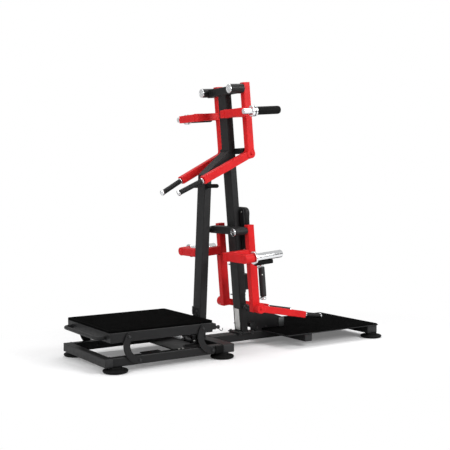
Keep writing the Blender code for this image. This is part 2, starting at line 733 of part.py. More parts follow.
def add_roller(chrome, foam, side):
    sign = side_sign(side)
    u = LOWER_BEARING[1] + GAP - LOWER_ARM_FORWARD + LOWER_ARM_DEEPER
    at_u, at_y = u + 0.0895, sign * 0.120
    reach = ROLLER_LENGTH / 2
    lows = ROLLER_W - reach - 0.008 - GAP, ROLLER_W + reach + GAP
    span_w = lows[1] - lows[0]
    profile = [(0, -0.003), (0.012, -0.003), (0.0135, -0.0015), (0.0135, 0.008), (0.008, 0.008)]
    profile += [(0.008, span_w), (0.0135, span_w), (0.0135, span_w + 0.0095)]
    profile += [(0.012, span_w + 0.011), (0, span_w + 0.011)]
    post = facing(leaning(at_u, at_y, lows[0]), leaning(at_u, at_y, lows[1]))
    shapes = [turned(profile, post, 20)]
    for low in lows:
        start = Vector((u + GAP * 1.5, sign * (LOWER_SPREAD - 0.003), 0))
        end = Vector((at_u, at_y, 0))
        across = (end - start).normalized().cross(Vector((0, 0, 1))) * 0.011
        corners = [start + across, start - across, end - across, end + across]
        corners[0].x = corners[1].x = start.x
        bm = bmesh.new()
        rings = [[bm.verts.new((c.x, c.y, low + dz)) for c in corners] for dz in (0.0006, 0.0074)]
        bm.faces.new(rings[0])
        bm.faces.new(rings[1][::-1])
        for i in range(4):
            j = (i + 1) % 4
            bm.faces.new((rings[0][i], rings[1][i], rings[1][j], rings[0][j]))
        bmesh.ops.recalc_face_normals(bm, faces=bm.faces)
        bmesh.ops.transform(bm, matrix=leaning_matrix(), verts=bm.verts)
        shapes.append(bm)
    pivot = leaning(0, sign * LOWER_SPREAD, LOWER_AXLE_W)
    piece(f"roller_post_{side}", chrome, shapes, pivot=pivot)
    ends = [leaning(at_u, at_y, ROLLER_W + k * (reach - GAP)) for k in (-1, 1)]
    roller = hollow(ends[0], ends[1], ROLLER_RADIUS, 0.008 + GAP, 0.004)
    piece(f"leg_roller_{side}", foam, [roller], pivot=leaning(at_u, at_y, ROLLER_W))


def add_chest_pad(paint, cover):
    frame = leaning_matrix()
    u0 = COLUMN_DEEP + GAP
    board = u0 + BOARD_THICK
    half, low, high = PAD_HALF - 0.012, PAD_LOW + 0.012, PAD_HIGH - 0.012
    piece("chest_pad_board", paint, [block(u0, board, -half, half, low, high, 0.002, frame)])
    bm = bmesh.new()
    rows = []
    profile = ((0.0, 0.008), (0.25, 0.0), (0.65, 0.0), (0.88, 0.006), (0.97, 0.016), (1.0, 0.030))
    for share, inset in profile:
        ring = []
        half = PAD_HALF - inset
        low, high = PAD_LOW + inset, PAD_HIGH - inset
        corner = 0.030
        centres = ((half - corner, high - corner), (-half + corner, high - corner))
        centres += ((-half + corner, low + corner), (half - corner, low + corner))
        for k, (cy, cw) in enumerate(centres):
            for i in range(7):
                angle = pi / 2 * (k + i / 6)
                u = board + GAP + share * PAD_THICK
                ring.append(bm.verts.new((u, cy + corner * cos(angle), cw + corner * sin(angle))))
        rows.append(ring)
    for low_ring, high_ring in zip(rows, rows[1:]):
        count = len(low_ring)
        for i in range(count):
            j = (i + 1) % count
            bm.faces.new((low_ring[i], low_ring[j], high_ring[j], high_ring[i]))
    bm.faces.new(rows[0])
    bm.faces.new(rows[-1][::-1])
    bmesh.ops.recalc_face_normals(bm, faces=bm.faces)
    bmesh.ops.transform(bm, matrix=frame, verts=bm.verts)
    piece("chest_pad", cover, [bm])


def add_knob(rubber):
    """Spring-loaded selector knob on the near side of the column."""
    place = leaning(COLUMN_DEEP / 2, -COLUMN_HALF - GAP, 0.273)
    out = Vector((0, -1, 0))
    profile = [(0, 0), (0.011, 0), (0.011, 0.012), (0.006, 0.014), (0.006, 0.020), (0.014, 0.023)]
    profile += [(0.0195, 0.031), (0.0195, 0.036), (0.0145, 0.044), (0.006, 0.048), (0, 0.0485)]
    piece("column_knob", rubber, [turned(profile, facing(place, place + out), 24)], pivot=place)


def add_platform(paint, cover):
    x1 = PLATFORM_END
    x0 = x1 - PLATFORM_LENGTH
    half = PLATFORM_HALF
    low = PLATFORM_TOP - RIM_TALL
    pairs, low_z, high_z = link_places()
    shapes = [block(x0, x1, -half, half, low, PLATFORM_TOP, EDGE)]
    inside = half - TUBE
    cuts = [block(x0 + TUBE, x1 - TUBE, -inside, inside, low - 0.01, PLATFORM_TOP - PAN_THICK)]
    for _, high_x in pairs:
        start = Vector((high_x, -half - 0.02, high_z))
        cuts.append(rod(start, start + Vector((0, 2 * half + 0.04, 0)), SHAFT_RADIUS + GAP))
    hole = Vector((x1 + 0.008, LATCH_Y, LATCH_Z))
    cuts.append(rod(hole, hole + Vector((0.042, 0, 0)), PIN_RADIUS + 2 * GAP, steps=16))
    lugs = []
    hx, hz = SPRING_HEAD
    for sign in (-1, 1):
        y0, y1 = span(sign, 0.0125, 0.0185)
        pan = PLATFORM_TOP - PAN_THICK
        lugs.append(block(hx - 0.018, hx + 0.018, y0, y1, hz - 0.015, pan + 0.003, 0.0015))
    lugs.append(rod(Vector((hx, -0.0165, hz)), Vector((hx, 0.0165, hz)), 0.005, steps=16))
    y0, y1, z0, z1 = LATCH_Y - 0.018, LATCH_Y + 0.018, LATCH_Z - 0.011, LATCH_Z + 0.027
    shapes.append(block(x1 - 0.004, x1 + 0.034, y0, y1, z0, z1, 0.003))
    points = []
    reach, spread, bend = HANDLE_REACH, half - 0.066, 0.040
    z = low + 0.026
    points.append(Vector((x0 + 0.006, -spread, z)))
    for i in range(7):
        a = pi / 2 * i / 6
        points.append(Vector((x0 - reach + bend - bend * sin(a), -spread + bend - bend * cos(a), z)))
    for i in range(7):
        a = pi / 2 * i / 6
        points.append(Vector((x0 - reach + bend - bend * cos(a), spread - bend + bend * sin(a), z)))
    points.append(Vector((x0 + 0.006, spread, z)))
    shapes.append(bent_bar(points, 0.0115))
    pivot = Vector((pairs[0][1], 0, high_z))
    piece("platform_frame", paint, shapes, cuts, pivot, lugs)
    wide = half + 0.002
    mat = block(x0 - 0.006, x1 + 0.005, -wide, wide, PLATFORM_TOP + GAP, PLATFORM_TOP + MAT_THICK)
    corners = [e for e in mat.edges if abs(e.verts[0].co.z - e.verts[1].co.z) > 0.001]
    bmesh.ops.bevel(mat, geom=corners, offset=0.018, segments=4, profile=0.5, affect="EDGES")
    piece("platform_mat", cover, [mat], pivot=pivot)


def add_latch_pin(chrome):
    """Pull pin in the block at the platform's inner end."""
    x = PLATFORM_END + 0.0085
    place = Vector((x, LATCH_Y, LATCH_Z))
    along = Vector((1, 0, 0))
    r = PIN_RADIUS
    profile = [(0, 0), (r, 0), (r, 0.047), (0.0095, 0.048), (0.0115, 0.050), (0.0115, 0.058)]
    profile += [(0.0095, 0.060), (0, 0.060)]
    piece("latch_pin", chrome, [turned(profile, facing(place, place + along), 20)], pivot=place)


def arc_point(centre, radius, angle):
    return centre.x + radius * cos(angle), centre.z + radius * sin(angle)


def add_links(paint):
    pairs, low_z, high_z = link_places()
    for name, (low_x, high_x) in zip(("link_pair_rear", "link_pair_front"), pairs):
        low, high = Vector((low_x, 0, low_z)), Vector((high_x, 0, high_z))
        chord = high - low
        side = Vector((-chord.z, 0, chord.x)).normalized()
        radius = chord.length**2 / (8 * LINK_BULGE) + LINK_BULGE / 2
        centre = (low + high) / 2 + side * (LINK_BULGE - radius)
        a0 = atan2(low.z - centre.z, low.x - centre.x) % (2 * pi)
        a1 = atan2(high.z - centre.z, high.x - centre.x) % (2 * pi)
        steps = 10
        turn = pi if a1 > a0 else -pi
        outline = []
        for i in range(steps + 1):
            outline.append(arc_point(centre, radius + LINK_HALF, a0 + (a1 - a0) * i / steps))
        for i in range(1, 8):
            outline.append(arc_point(high, LINK_HALF, a1 + turn * i / 8))
        for i in range(steps + 1):
            outline.append(arc_point(centre, radius - LINK_HALF, a1 + (a0 - a1) * i / steps))
        for i in range(1, 8):
            outline.append(arc_point(low, LINK_HALF, a0 + pi + turn * i / 8))
        shapes = []
        inside = PLATFORM_HALF + 2 * GAP
        for sign in (-1, 1):
            y0, y1 = span(sign, inside, inside + LINK_THICK)
            shapes.append(prism(outline, y0, y1))
        outer = inside + LINK_THICK + 0.007
        out = Vector((0, outer, 0))
        shapes.append(rod(high - out, high + out, SHAFT_RADIUS, 0.002))
        stub = Vector((0, BASE_HALF - TUBE - 0.006, 0))
        shapes.append(rod(low - out, low - stub, SHAFT_RADIUS, 0.002))
        shapes.append(rod(low + stub, low + out, SHAFT_RADIUS, 0.002))
        piece(name, paint, shapes, pivot=low)


def add_gas_spring(paint, metal, chrome):
    fx, fz = SPRING_FOOT
    wall = CROSS_X - CROSS_WIDE / 2 - GAP
    low = FOOT_HEIGHT + 0.004 + MID_PLATE_THICK + GAP
    shapes = [block(wall - 0.004, wall, -0.030, 0.030, low, FLOOR_TUBE - 0.0005, 0.001)]
    for sign in (-1, 1):
        y0, y1 = span(sign, 0.0125, 0.0185)
        shapes.append(block(fx - 0.016, wall - 0.002, y0, y1, fz - 0.016, fz + 0.016, 0.0015))
        shapes.append(block(fx - 0.0155, fx + 0.0155, y0, y1, fz, fz + SPRING_LUG, 0.0015))
    shapes.append(rod(Vector((fx, -0.0165, fz)), Vector((fx, 0.0165, fz)), 0.005, steps=16))
    piece("spring_bracket", paint, shapes)
    foot = Vector((fx, 0, fz))
    head = Vector((SPRING_HEAD[0], 0, SPRING_HEAD[1]))
    along = (head - foot).normalized()
    length = (head - foot).length
    side = Vector((0, 0.0122, 0))
    eye_hole = rod(foot - side * 2, foot + side * 2, 0.005 + GAP, steps=16)
    shapes = [rod(foot - side, foot + side, 0.012, 0.001, 20)]
    shapes.append(rod(foot + along * 0.008, foot + along * (length - 0.090), 0.005, 0.0005, 16))
    piece("spring_rod", chrome, shapes, [eye_hole], pivot=foot)
    mouth = head - along * SPRING_BODY
    shapes = [rod(mouth, head - along * 0.026, 0.014, 0.0015, 24)]
    shapes.append(rod(head - side, head + side, 0.012, 0.001, 20))
    shapes.append(rod(head - along * 0.030, head - along * 0.007, 0.007, steps=16))
    cuts = [rod(mouth - along * 0.02, head - along * 0.036, 0.0078, steps=16)]
    cuts.append(rod(head - side * 2, head + side * 2, 0.005 + GAP, steps=16))
    piece("spring_cylinder", metal, shapes, cuts, pivot=head)


def main():
    clear_scene()
    black = material("black_paint", (0.045, 0.045, 0.048), 0.45, 0.0)
    red = material("red_paint", (0.62, 0.03, 0.03), 0.38, 0.0)
    chrome = material("chrome", (0.80, 0.80, 0.80), 0.12, 1.0)
    rubber = material("black_rubber", (0.025, 0.025, 0.025), 0.75, 0.0)
    mat = material("ribbed_mat", (0.030, 0.030, 0.030), 0.85, 0.0)
    leather = material("pad_cover", (0.030, 0.030, 0.032), 0.50, 0.0)
    alloy = material("spring_alloy", (0.55, 0.56, 0.57), 0.30, 1.0)
    add_rear_frame(black)
    add_centre_cross(black)
    add_spine_frame(black)
    add_low_deck(mat)
    add_feet(rubber)
    add_tall_column(black)
    add_column_brace(black)
    add_short_upright(black)
    add_beam(black)
    add_arm_stop(rubber)
    top = COLUMN_TOP
    upper_box, lower_box = (-0.005, 0.045, top, top + 0.053), (-0.050, -GAP, 0.772, 0.822)
    upper = UPPER_AXLE_W, upper_box, UPPER_BEARING, BEARING_RADIUS
    lower = LOWER_AXLE_W, lower_box, LOWER_BEARING, LOWER_BEARING_RADIUS
    add_bearing_beam("upper_t_beam", black, ARM_SPREAD, *upper)
    add_bearing_beam("lower_t_beam", black, LOWER_SPREAD, *lower)
    for side in ("near", "far"):
        sign = side_sign(side)
        upper = sign * ARM_SPREAD, UPPER_AXLE_W, UPPER_BEARING, CAP_RADIUS
        lower = sign * LOWER_SPREAD, LOWER_AXLE_W, LOWER_BEARING, LOWER_CAP_RADIUS
        add_axle_cap(f"upper_axle_cap_{side}", chrome, *upper)
        add_axle_cap(f"lower_axle_cap_{side}", chrome, *lower)
        add_upper_arm(red, side)
        add_incline(red, side)
        start, along = upper_grip(sign)
        add_handle("upper", chrome, rubber, side, start, along, leaning(0, sign * ARM_SPREAD, UPPER_AXLE_W))
        add_upper_horn(chrome, rubber, side)
        add_lower_arm(red, side)
        end = add_forward_tube(red, side)
        start, along = lower_grip(sign, end)
        add_handle("lower", chrome, rubber, side, start, along, leaning(0, sign * LOWER_SPREAD, LOWER_AXLE_W))
        add_lower_horn(chrome, side)
        add_horn_keeper(rubber, side)
        add_roller(chrome, rubber, side)
    add_chest_pad(black, leather)
    add_knob(rubber)
    add_platform(black, mat)
    add_latch_pin(chrome)
    add_links(black)
    add_gas_spring(black, alloy, chrome)


main()
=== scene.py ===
"""Looks of a standing lateral raise machine: finishes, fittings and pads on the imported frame.

Metres, +Z up, in the frame's own axes: +X from the lifting platform to the low deck, -Y the near side.
Only the profiles of turned pieces, as (radius, height), and the sizes of bolts are in millimetres.
"""

from math import cos, pi, radians, sin, sqrt

import bmesh
import bpy
from mathutils import Matrix, Vector


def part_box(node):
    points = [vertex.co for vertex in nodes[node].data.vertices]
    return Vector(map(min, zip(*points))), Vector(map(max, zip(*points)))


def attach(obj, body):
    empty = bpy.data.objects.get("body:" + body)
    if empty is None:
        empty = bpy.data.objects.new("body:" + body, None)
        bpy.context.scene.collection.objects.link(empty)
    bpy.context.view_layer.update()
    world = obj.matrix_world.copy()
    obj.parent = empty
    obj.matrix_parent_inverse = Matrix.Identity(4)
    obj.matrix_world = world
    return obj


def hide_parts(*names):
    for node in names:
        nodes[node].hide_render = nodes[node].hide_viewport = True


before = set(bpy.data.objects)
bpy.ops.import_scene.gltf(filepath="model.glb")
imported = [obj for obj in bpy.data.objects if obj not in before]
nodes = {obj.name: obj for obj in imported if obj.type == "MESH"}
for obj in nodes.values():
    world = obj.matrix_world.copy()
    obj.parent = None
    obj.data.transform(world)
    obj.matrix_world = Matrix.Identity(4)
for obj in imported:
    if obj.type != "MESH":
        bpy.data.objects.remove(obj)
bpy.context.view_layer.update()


# The camera stands a little over five metres off, at chest height, and looks along the machine
# from the lifting platform's near corner. It is level from side to side and tips down slightly.
scene = bpy.context.scene


def add_object(name, data):
    """A new object in the scene, at the origin."""
    made = bpy.data.objects.new(name, data)
    scene.collection.objects.link(made)
    return made


camera = bpy.data.cameras.new("camera")
camera.sensor_width = 36
camera.lens = 65.213
viewpoint = add_object("camera", camera)
viewpoint.location = (-3.0915, -4.559, 1.08)
viewpoint.rotation_euler = (radians(87.3571), 0, radians(-33.7982))
scene.camera = viewpoint
scene.view_settings.view_transform = "Standard"


# The room is a white sweep: a wide floor, and a world that the camera sees as white. Chrome mirrors
# it as grey with a dark band at eye height, open towards one side, and its own light is soft.
def add_node(tree, kind, values=None, **settings):
    """A shader node with its settings. An input that is given a socket is linked to it."""
    made = tree.nodes.new(f"ShaderNode{kind}")
    for key, value in settings.items():
        setattr(made, key, value)
    for key, value in (values or {}).items():
        if isinstance(value, bpy.types.NodeSocket):
            tree.links.new(value, made.inputs[key])
        else:
            made.inputs[key].default_value = value
    return made


def maths(operation, *values, **settings):
    """The result of a Math node in the first value's tree."""
    tree = values[0].id_data
    return add_node(tree, "Math", dict(enumerate(values)), operation=operation, **settings).outputs[0]


def vector_maths(operation, *values):
    made = add_node(values[0].id_data, "VectorMath", dict(enumerate(values)), operation=operation)
    return made.outputs["Vector" if operation == "MULTIPLY" else "Value"]


def ramp(value, low=0, high=1, to_low=0, to_high=1):
    """Stretch what lies between low and high over what lies between to_low and to_high."""
    values = {"Value": value, "From Min": low, "From Max": high, "To Min": to_low, "To Max": to_high}
    return add_node(value.id_data, "MapRange", values).outputs["Result"]


ROOM_LIGHT = 0.36
MIRROR_LIGHT = 0.62
MIRROR_DARK = 0.1
OPEN_SIDE = (-0.556, 0.831, 0)
world = bpy.data.worlds.new("white_room")
world.use_nodes = True
tree = world.node_tree
tree.nodes.clear()
path = add_node(tree, "LightPath").outputs
ways = add_node(tree, "TexCoord").outputs["Generated"]
height = add_node(tree, "SeparateXYZ", {0: ways}).outputs["Z"]
above_band = ramp(maths("ABSOLUTE", height), 0.1, 0.34)
opening = ramp(vector_maths("DOT_PRODUCT", ways, OPEN_SIDE), 0.72, 0.94)
lit = maths("MAXIMUM", above_band, opening)
mirrored = ramp(lit, to_low=MIRROR_DARK, to_high=MIRROR_LIGHT)
bounced = ramp(path["Is Glossy Ray"], to_low=ROOM_LIGHT, to_high=mirrored)
strength = ramp(path["Is Camera Ray"], to_low=bounced)
glow = add_node(tree, "Background", {"Color": (1, 1, 1, 1), "Strength": strength})
add_node(tree, "OutputWorld", {"Surface": glow.outputs[0]})
scene.world = world


def mesh_of(bm, name):
    """Make a bmesh a mesh, and free it."""
    mesh = bpy.data.meshes.new(name)
    bm.to_mesh(mesh)
    bm.free()
    return mesh


def new_material(name):
    made = bpy.data.materials.new(name)
    made.use_nodes = True
    made.node_tree.nodes.clear()
    return made, made.node_tree


paper, tree = new_material("white_floor")
matte = add_node(tree, "BsdfDiffuse", {"Color": (0.84, 0.84, 0.845, 1)}).outputs[0]
seen = add_node(tree, "LightPath").outputs["Is Camera Ray"]
lift = add_node(tree, "Emission", {"Strength": maths("MULTIPLY", seen, 0.15)}).outputs[0]
near = add_node(tree, "AddShader", {0: matte, 1: lift}).outputs[0]
place = add_node(tree, "TexCoord").outputs["Object"]
reach = vector_maths("LENGTH", vector_maths("MULTIPLY", place, (1, 1.5, 1)))
fade = maths("MULTIPLY", ramp(reach, 1.15, 2.15), seen)
clear = add_node(tree, "Emission", {"Strength": 1}).outputs[0]
both = add_node(tree, "MixShader", {0: fade, 1: near, 2: clear}).outputs[0]
add_node(tree, "OutputMaterial", {"Surface": both})
bm = bmesh.new()
bmesh.ops.create_grid(bm, x_segments=1, y_segments=1, size=14)
floor = add_object("floor", mesh_of(bm, "floor"))
floor.data.materials.append(paper)

# Three wide soft boxes: one over the camera's right shoulder, one low on the left, one overhead.
# All are square and face the middle of the machine.
LAMPS = (
    ("key_box", (2, -4.4, 3), 2.4, 178),
    ("fill_box", (-4.4, -0.6, 2.2), 2.6, 84),
    ("top_box", (0.2, 0.6, 4.6), 3, 90),
)
MIDDLE = Vector((0, 0, 0.7))
for name, place, size, power in LAMPS:
    lamp = bpy.data.lights.new(name, "AREA")
    lamp.shape = "SQUARE"
    lamp.size = size
    lamp.energy = power
    stand = add_object(name, lamp)
    stand.location = place
    stand.rotation_euler = (MIDDLE - Vector(place)).to_track_quat("-Z", "Y").to_euler()


# The floor frame is cut from rectangular steel tube, welded and dipped in black powder coat. The coat
# has a fine orange peel and a little dust on what faces up. Its edges are rubbed thin, and are painted
# lighter, partly for that wear and partly as a painted highlight along them.
def new_group(name, output, **inputs):
    """A shader group of one output. Inputs come with their values, and every socket is a number."""
    group = bpy.data.node_groups.new(name, "ShaderNodeTree")
    for label, value in inputs.items():
        socket = group.interface.new_socket(label, in_out="INPUT", socket_type="NodeSocketFloat")
        socket.default_value = value
    group.interface.new_socket(output, in_out="OUTPUT", socket_type="NodeSocketFloat")
    given = group.nodes.new("NodeGroupInput").outputs
    return group, given, group.nodes.new("NodeGroupOutput").inputs[0]


def noise(tree, scale, detail=3, stretch=(1, 1, 1)):
    """Noise over the piece's own coordinates, stretched where the finish has a direction."""
    place = add_node(tree, "TexCoord").outputs["Object"]
    place = add_node(tree, "Mapping", {"Vector": place, "Scale": stretch}).outputs[0]
    values = {"Vector": place, "Scale": scale, "Detail": detail, "Roughness": 0.55}
    return add_node(tree, "TexNoise", values).outputs["Fac"]


# Edge mask, lighter along every edge: partly rubbing wear, partly a painted highlight for the sheen that
# edges catch.
worn_and_sheened_edges, given, out = new_group("worn_and_sheened_edges", "Mask", Width=0.002, Patches=40)
near_edge = add_node(worn_and_sheened_edges, "Bevel", {"Radius": given["Width"]}, samples=4).outputs[0]
surface = add_node(worn_and_sheened_edges, "NewGeometry").outputs["Normal"]
edge = ramp(vector_maths("DOT_PRODUCT", near_edge, surface), 0.985, 0.9)
patches = ramp(noise(worn_and_sheened_edges, given["Patches"], 4), 0.42, 0.62)
worn_and_sheened_edges.links.new(maths("MULTIPLY", edge, patches), out)

fallen_dust, given, out = new_group("fallen_dust", "Mask", Amount=0.3, Patches=9)
surface = add_node(fallen_dust, "NewGeometry").outputs["Normal"]
level = ramp(add_node(fallen_dust, "SeparateXYZ", {0: surface}).outputs["Z"], 0.55)
cloud = ramp(noise(fallen_dust, given["Patches"], 6), 0.35, 0.75)
settled = maths("MULTIPLY", maths("MULTIPLY", level, cloud), given["Amount"])
fallen_dust.links.new(settled, out)

orange_peel, given, out = new_group("orange_peel", "Height", Size=420, Grit=0.3)
waves = noise(orange_peel, given["Size"], 1)
grit = maths("MULTIPLY", noise(orange_peel, 2600, 2), given["Grit"])
orange_peel.links.new(maths("ADD", waves, grit), out)


def finish_of(name, colour, roughness, level=0.5, metallic=0):
    """A new finish: its material, tree and shader, with every constant on the shader's own sockets."""
    made, tree = new_material(name)
    values = {"Base Color": (*colour, 1), "Roughness": roughness}
    values.update({"Specular IOR Level": level, "Metallic": metallic})
    shader = add_node(tree, "BsdfPrincipled", values)
    add_node(tree, "OutputMaterial", {"Surface": shader.outputs[0]})
    return made, tree, shader


def effect(tree, group, **values):
    return add_node(tree, "Group", values, node_tree=group).outputs[0]


def mixed(share, first, second):
    values = {0: share, 6: (*first, 1) if isinstance(first, tuple) else first, 7: (*second, 1)}
    return add_node(share.id_data, "Mix", values, data_type="RGBA").outputs[2]


def coloured(shader, share, first, second):
    shader.id_data.links.new(mixed(share, first, second), shader.inputs["Base Color"])


def glossed(shader, field, smooth, rough):
    """Let the roughness wander between two values with a field of noise."""
    shader.id_data.links.new(ramp(field, 0.3, 0.7, smooth, rough), shader.inputs["Roughness"])


def bumped(shader, height, distance, strength):
    values = {"Height": height, "Distance": distance, "Strength": strength}
    tree = shader.id_data
    tree.links.new(add_node(tree, "Bump", values).outputs[0], shader.inputs["Normal"])


def powder_coat(name, colour, deeper, edge_wear_and_sheen, roughness, dust, level):
    made, tree, shader = finish_of(name, colour, roughness, level)
    shade = mixed(ramp(noise(tree, 14, 5), 0.35, 0.7), colour, deeper)
    # The edges take the lighter colour: wear and a painted highlight together.
    shade = mixed(effect(tree, worn_and_sheened_edges, Width=0.0024, Patches=55), shade, edge_wear_and_sheen)
    dusty = effect(tree, fallen_dust, Amount=dust, Patches=11)
    coloured(shader, dusty, shade, (0.22, 0.21, 0.2))
    uneven = ramp(noise(tree, 38, 4), 0.3, 0.7, roughness - 0.05, roughness + 0.06)
    uneven = maths("ADD", uneven, maths("MULTIPLY", dusty, 0.35), use_clamp=True)
    tree.links.new(uneven, shader.inputs["Roughness"])
    bumped(shader, effect(tree, orange_peel, Size=420, Grit=0.3), 0.00022, 0.6)
    return made


black_coat = powder_coat(
    "black_powder_coat",
    colour=(0.0115, 0.0115, 0.012),
    deeper=(0.0085, 0.0085, 0.009),
    edge_wear_and_sheen=(0.036, 0.036, 0.037),
    roughness=0.44,
    dust=0.04,
    level=0.24,
)


def paint_nodes(paint, *names):
    """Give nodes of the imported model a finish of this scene."""
    for name in names:
        for slot in nodes[name].material_slots:
            slot.material = paint


paint_nodes(black_coat, "rear_frame", "centre_cross", "spine_frame")


def settle(piece, body, replaced=None):
    """Hang a piece on a body, and hide the node that it stands for."""
    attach(piece, body)
    if replaced:
        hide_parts(replaced)
    return piece


def stepped(points, closed, step):
    """Points a step apart along a run of straight lines."""
    run = []
    for start, end in zip(points, points[1:] + (points[:1] if closed else [])):
        count = max(1, round((end - start).length / step))
        run += [start.lerp(end, i / count) for i in range(count)]
    return run if closed else run + [points[-1]]


def round_curve(name, radius, resolution):
    """An empty curve of a round section with closed ends."""
    curve = bpy.data.curves.new(name, "CURVE")
    curve.dimensions = "3D"
    curve.bevel_depth = radius
    curve.bevel_resolution = resolution
    curve.use_fill_caps = True
    return curve


def add_beads(name, seams, size=0.0026, paint=black_coat, body="base"):
    """Weld beads laid along seams, one ripple every three steps. A seam is (points, closed)."""
    curve = round_curve(name, size, 1)
    for points, closed in seams:
        run = stepped([Vector(point) for point in points], closed, 0.0019)
        spline = curve.splines.new("POLY")
        spline.points.add(len(run) - 1)
        for i, (point, place) in enumerate(zip(spline.points, run)):
            point.co = (*place, 1)
            point.radius = (0.84, 1, 1.12)[i % 3]
        spline.use_cyclic_u = closed
    curve.materials.append(paint)
    settle(add_object(name, curve), body)


def rectangle(half_a, half_b, corner=0.0035):
    """Pairs of numbers round a rectangle with cut corners, a few millimetres apart."""
    points = []
    for a, b in ((1, 1), (-1, 1), (-1, -1), (1, -1)):
        pair = [(a * half_a, b * (half_b - corner)), (a * (half_a - corner), b * half_b)]
        points += [Vector(point) for point in (pair if a * b > 0 else pair[::-1])]
    return stepped(points, True, 0.004)


RAIL_IN, RAIL_OUT = 0.255, 0.305
SPINE_Y = 0.045
LOW, HIGH = 0.035, 0.088
seams = []
for sign in (-1, 1):
    inner, outer = sign * RAIL_IN, sign * RAIL_OUT
    for x in (-1.026, -0.2625):
        seams.append(([(x, inner, LOW), (x, inner, HIGH), (x, outer, HIGH)], False))
    seams.append(([(-0.488, inner, 0.0475), (-0.266, inner, 0.0475)], False))
add_beads("rear_frame_welds", seams)
around = ((-SPINE_Y, LOW), (-SPINE_Y, HIGH), (SPINE_Y, HIGH), (SPINE_Y, LOW))
seams = [([(-0.1775, y, z) for y, z in around], False)]
for x in (0.4085, 0.4715, 0.985):
    for y in (-SPINE_Y, SPINE_Y):
        seams.append(([(x, y, LOW), (x, y, HIGH)], False))
add_beads("spine_frame_welds", seams)

# Every open tube end is closed by a black moulded plug: a flange as wide as the tube, slightly domed.
# The plugs are a softer, rougher black than the coat beside them.
plastic, tree, shader = finish_of("plug_plastic", (0.014, 0.014, 0.015), 0.5, level=0.4)
bumped(shader, noise(tree, 900, 2), 0.00015, 0.5)
glossed(shader, noise(tree, 60), 0.44, 0.58)


def join(bm, part, seat=None):
    """Move one bmesh into another, placed by a matrix."""
    if seat is not None:
        bmesh.ops.transform(part, matrix=seat, verts=part.verts)
    step = mesh_of(part, "step")
    bm.from_mesh(step)
    bpy.data.meshes.remove(step)


def round_off(bm, edges, radius, segments):
    bmesh.ops.bevel(
        bm, geom=edges, offset=radius, segments=segments, profile=0.5, affect="EDGES", material=-1
    )


def new_box(low, high):
    """A box between two corners, as a bmesh."""
    low, high = Vector(low), Vector(high)
    part = bmesh.new()
    middle = Matrix.Translation((low + high) / 2)
    bmesh.ops.create_cube(part, size=1, matrix=middle @ Matrix.Diagonal((*(high - low), 1)))
    return part


def add_block(bm, low, high, edge, seat=None):
    """A block between two corners, with its edges rounded."""
    part = new_box(low, high)
    round_off(part, part.edges[:], edge, 3)
    join(bm, part, seat)


def add_pair(bm, low, high, edge):
    """A block on the far side and its mirror image on the near side."""
    for sign in (-1, 1):
        y0, y1 = sorted((sign * low[1], sign * high[1]))
        add_block(bm, (low[0], y0, low[2]), (high[0], y1, high[2]), edge)


def finish_piece(bm, name, paint, body="base", replaced=None, sharp=33):
    """Clean a bmesh and make it one piece that rides on a body."""
    bmesh.ops.recalc_face_normals(bm, faces=bm.faces[:])
    mesh = mesh_of(bm, name)
    mesh.polygons.foreach_set("use_smooth", [True] * len(mesh.polygons))
    mesh.set_sharp_from_angle(angle=radians(sharp))
    mesh.materials.append(paint)
    return settle(add_object(name, mesh), body, replaced)


TUBE_ENDS = (
    (-1.076, -1.026, 0.305), (-0.262, -0.178, 0.31), (0.4085, 0.4715, 0.302), (0.985, 1.075, 0.305),
)
bm = bmesh.new()
for x0, x1, y in TUBE_ENDS:
    for inset, reach in ((0.0004, 0.002), (0.005, 0.0034)):
        add_pair(bm, (x0 + inset, y - 0.001, LOW + inset), (x1 - inset, y + reach, HIGH - inset), 0.0009)
finish_piece(bm, "tube_end_plugs", plastic)

# Bright zinc bolts hold what can be taken apart. Each is a hex head or a nut on a plain washer.
# Two on each long rail hold the cross plate that hangs between the rails.
zinc, tree, shader = finish_of("zinc_plate", (0.62, 0.62, 0.6), 0.28, metallic=1)
glossed(shader, noise(tree, 120, 4), 0.2, 0.42)
stain = ramp(noise(tree, 46, 5), 0.4, 0.72)
coloured(shader, stain, (0.66, 0.66, 0.64), (0.48, 0.47, 0.43))
bumped(shader, noise(tree, 1500, 2), 0.00005, 0.5)


def facing(place, along):
    """A matrix at place with +Z along a direction."""
    return Matrix.Translation(place) @ Vector(along).to_track_quat("Z", "Y").to_matrix().to_4x4()


def eased(profile, radius, steps=4):
    """A profile with each of its inner corners rounded."""
    points = [Vector(point) for point in profile]
    run = [points[0]]
    for before, here, after in zip(points, points[1:], points[2:]):
        reach = min(radius, (before - here).length * 0.48, (after - here).length * 0.48)
        start = here + (before - here).normalized() * reach
        end = here + (after - here).normalized() * reach
        for i in range(steps + 1):
            t = i / steps
            run.append(start * (1 - t) ** 2 + here * (2 * t * (1 - t)) + end * t**2)
    return run + [points[-1]]


def add_spun(bm, profile, seat, steps):
    """Turn a profile of (radius, height) in millimetres right round the seat's +Z."""
    part = bmesh.new()
    points = [part.verts.new((radius / 1000, 0, height / 1000)) for radius, height in profile]
    lines = [part.edges.new(pair) for pair in zip(points, points[1:])]
    bmesh.ops.spin(
        part, geom=points + lines, cent=(0, 0, 0), axis=(0, 0, 1), angle=2 * pi, steps=steps,
        use_merge=True,
    )
    bmesh.ops.remove_doubles(part, verts=part.verts, dist=0.000005)
    join(bm, part, seat)


def add_hex(bm, seat, size, start, tall):
    """A hex prism with its top corners taken off."""
    size, start, tall = size / 1000, start / 1000, tall / 1000
    part = bmesh.new()
    bmesh.ops.create_cone(
        part, cap_ends=True, segments=6, radius1=0.9 * size, radius2=0.9 * size, depth=tall,
        matrix=Matrix.Translation((0, 0, start + tall / 2)),
    )
    rim = [e for e in part.edges if min(v.co.z for v in e.verts) > start + tall * 0.9]
    round_off(part, rim, 0.09 * size, 2)
    join(bm, part, seat)


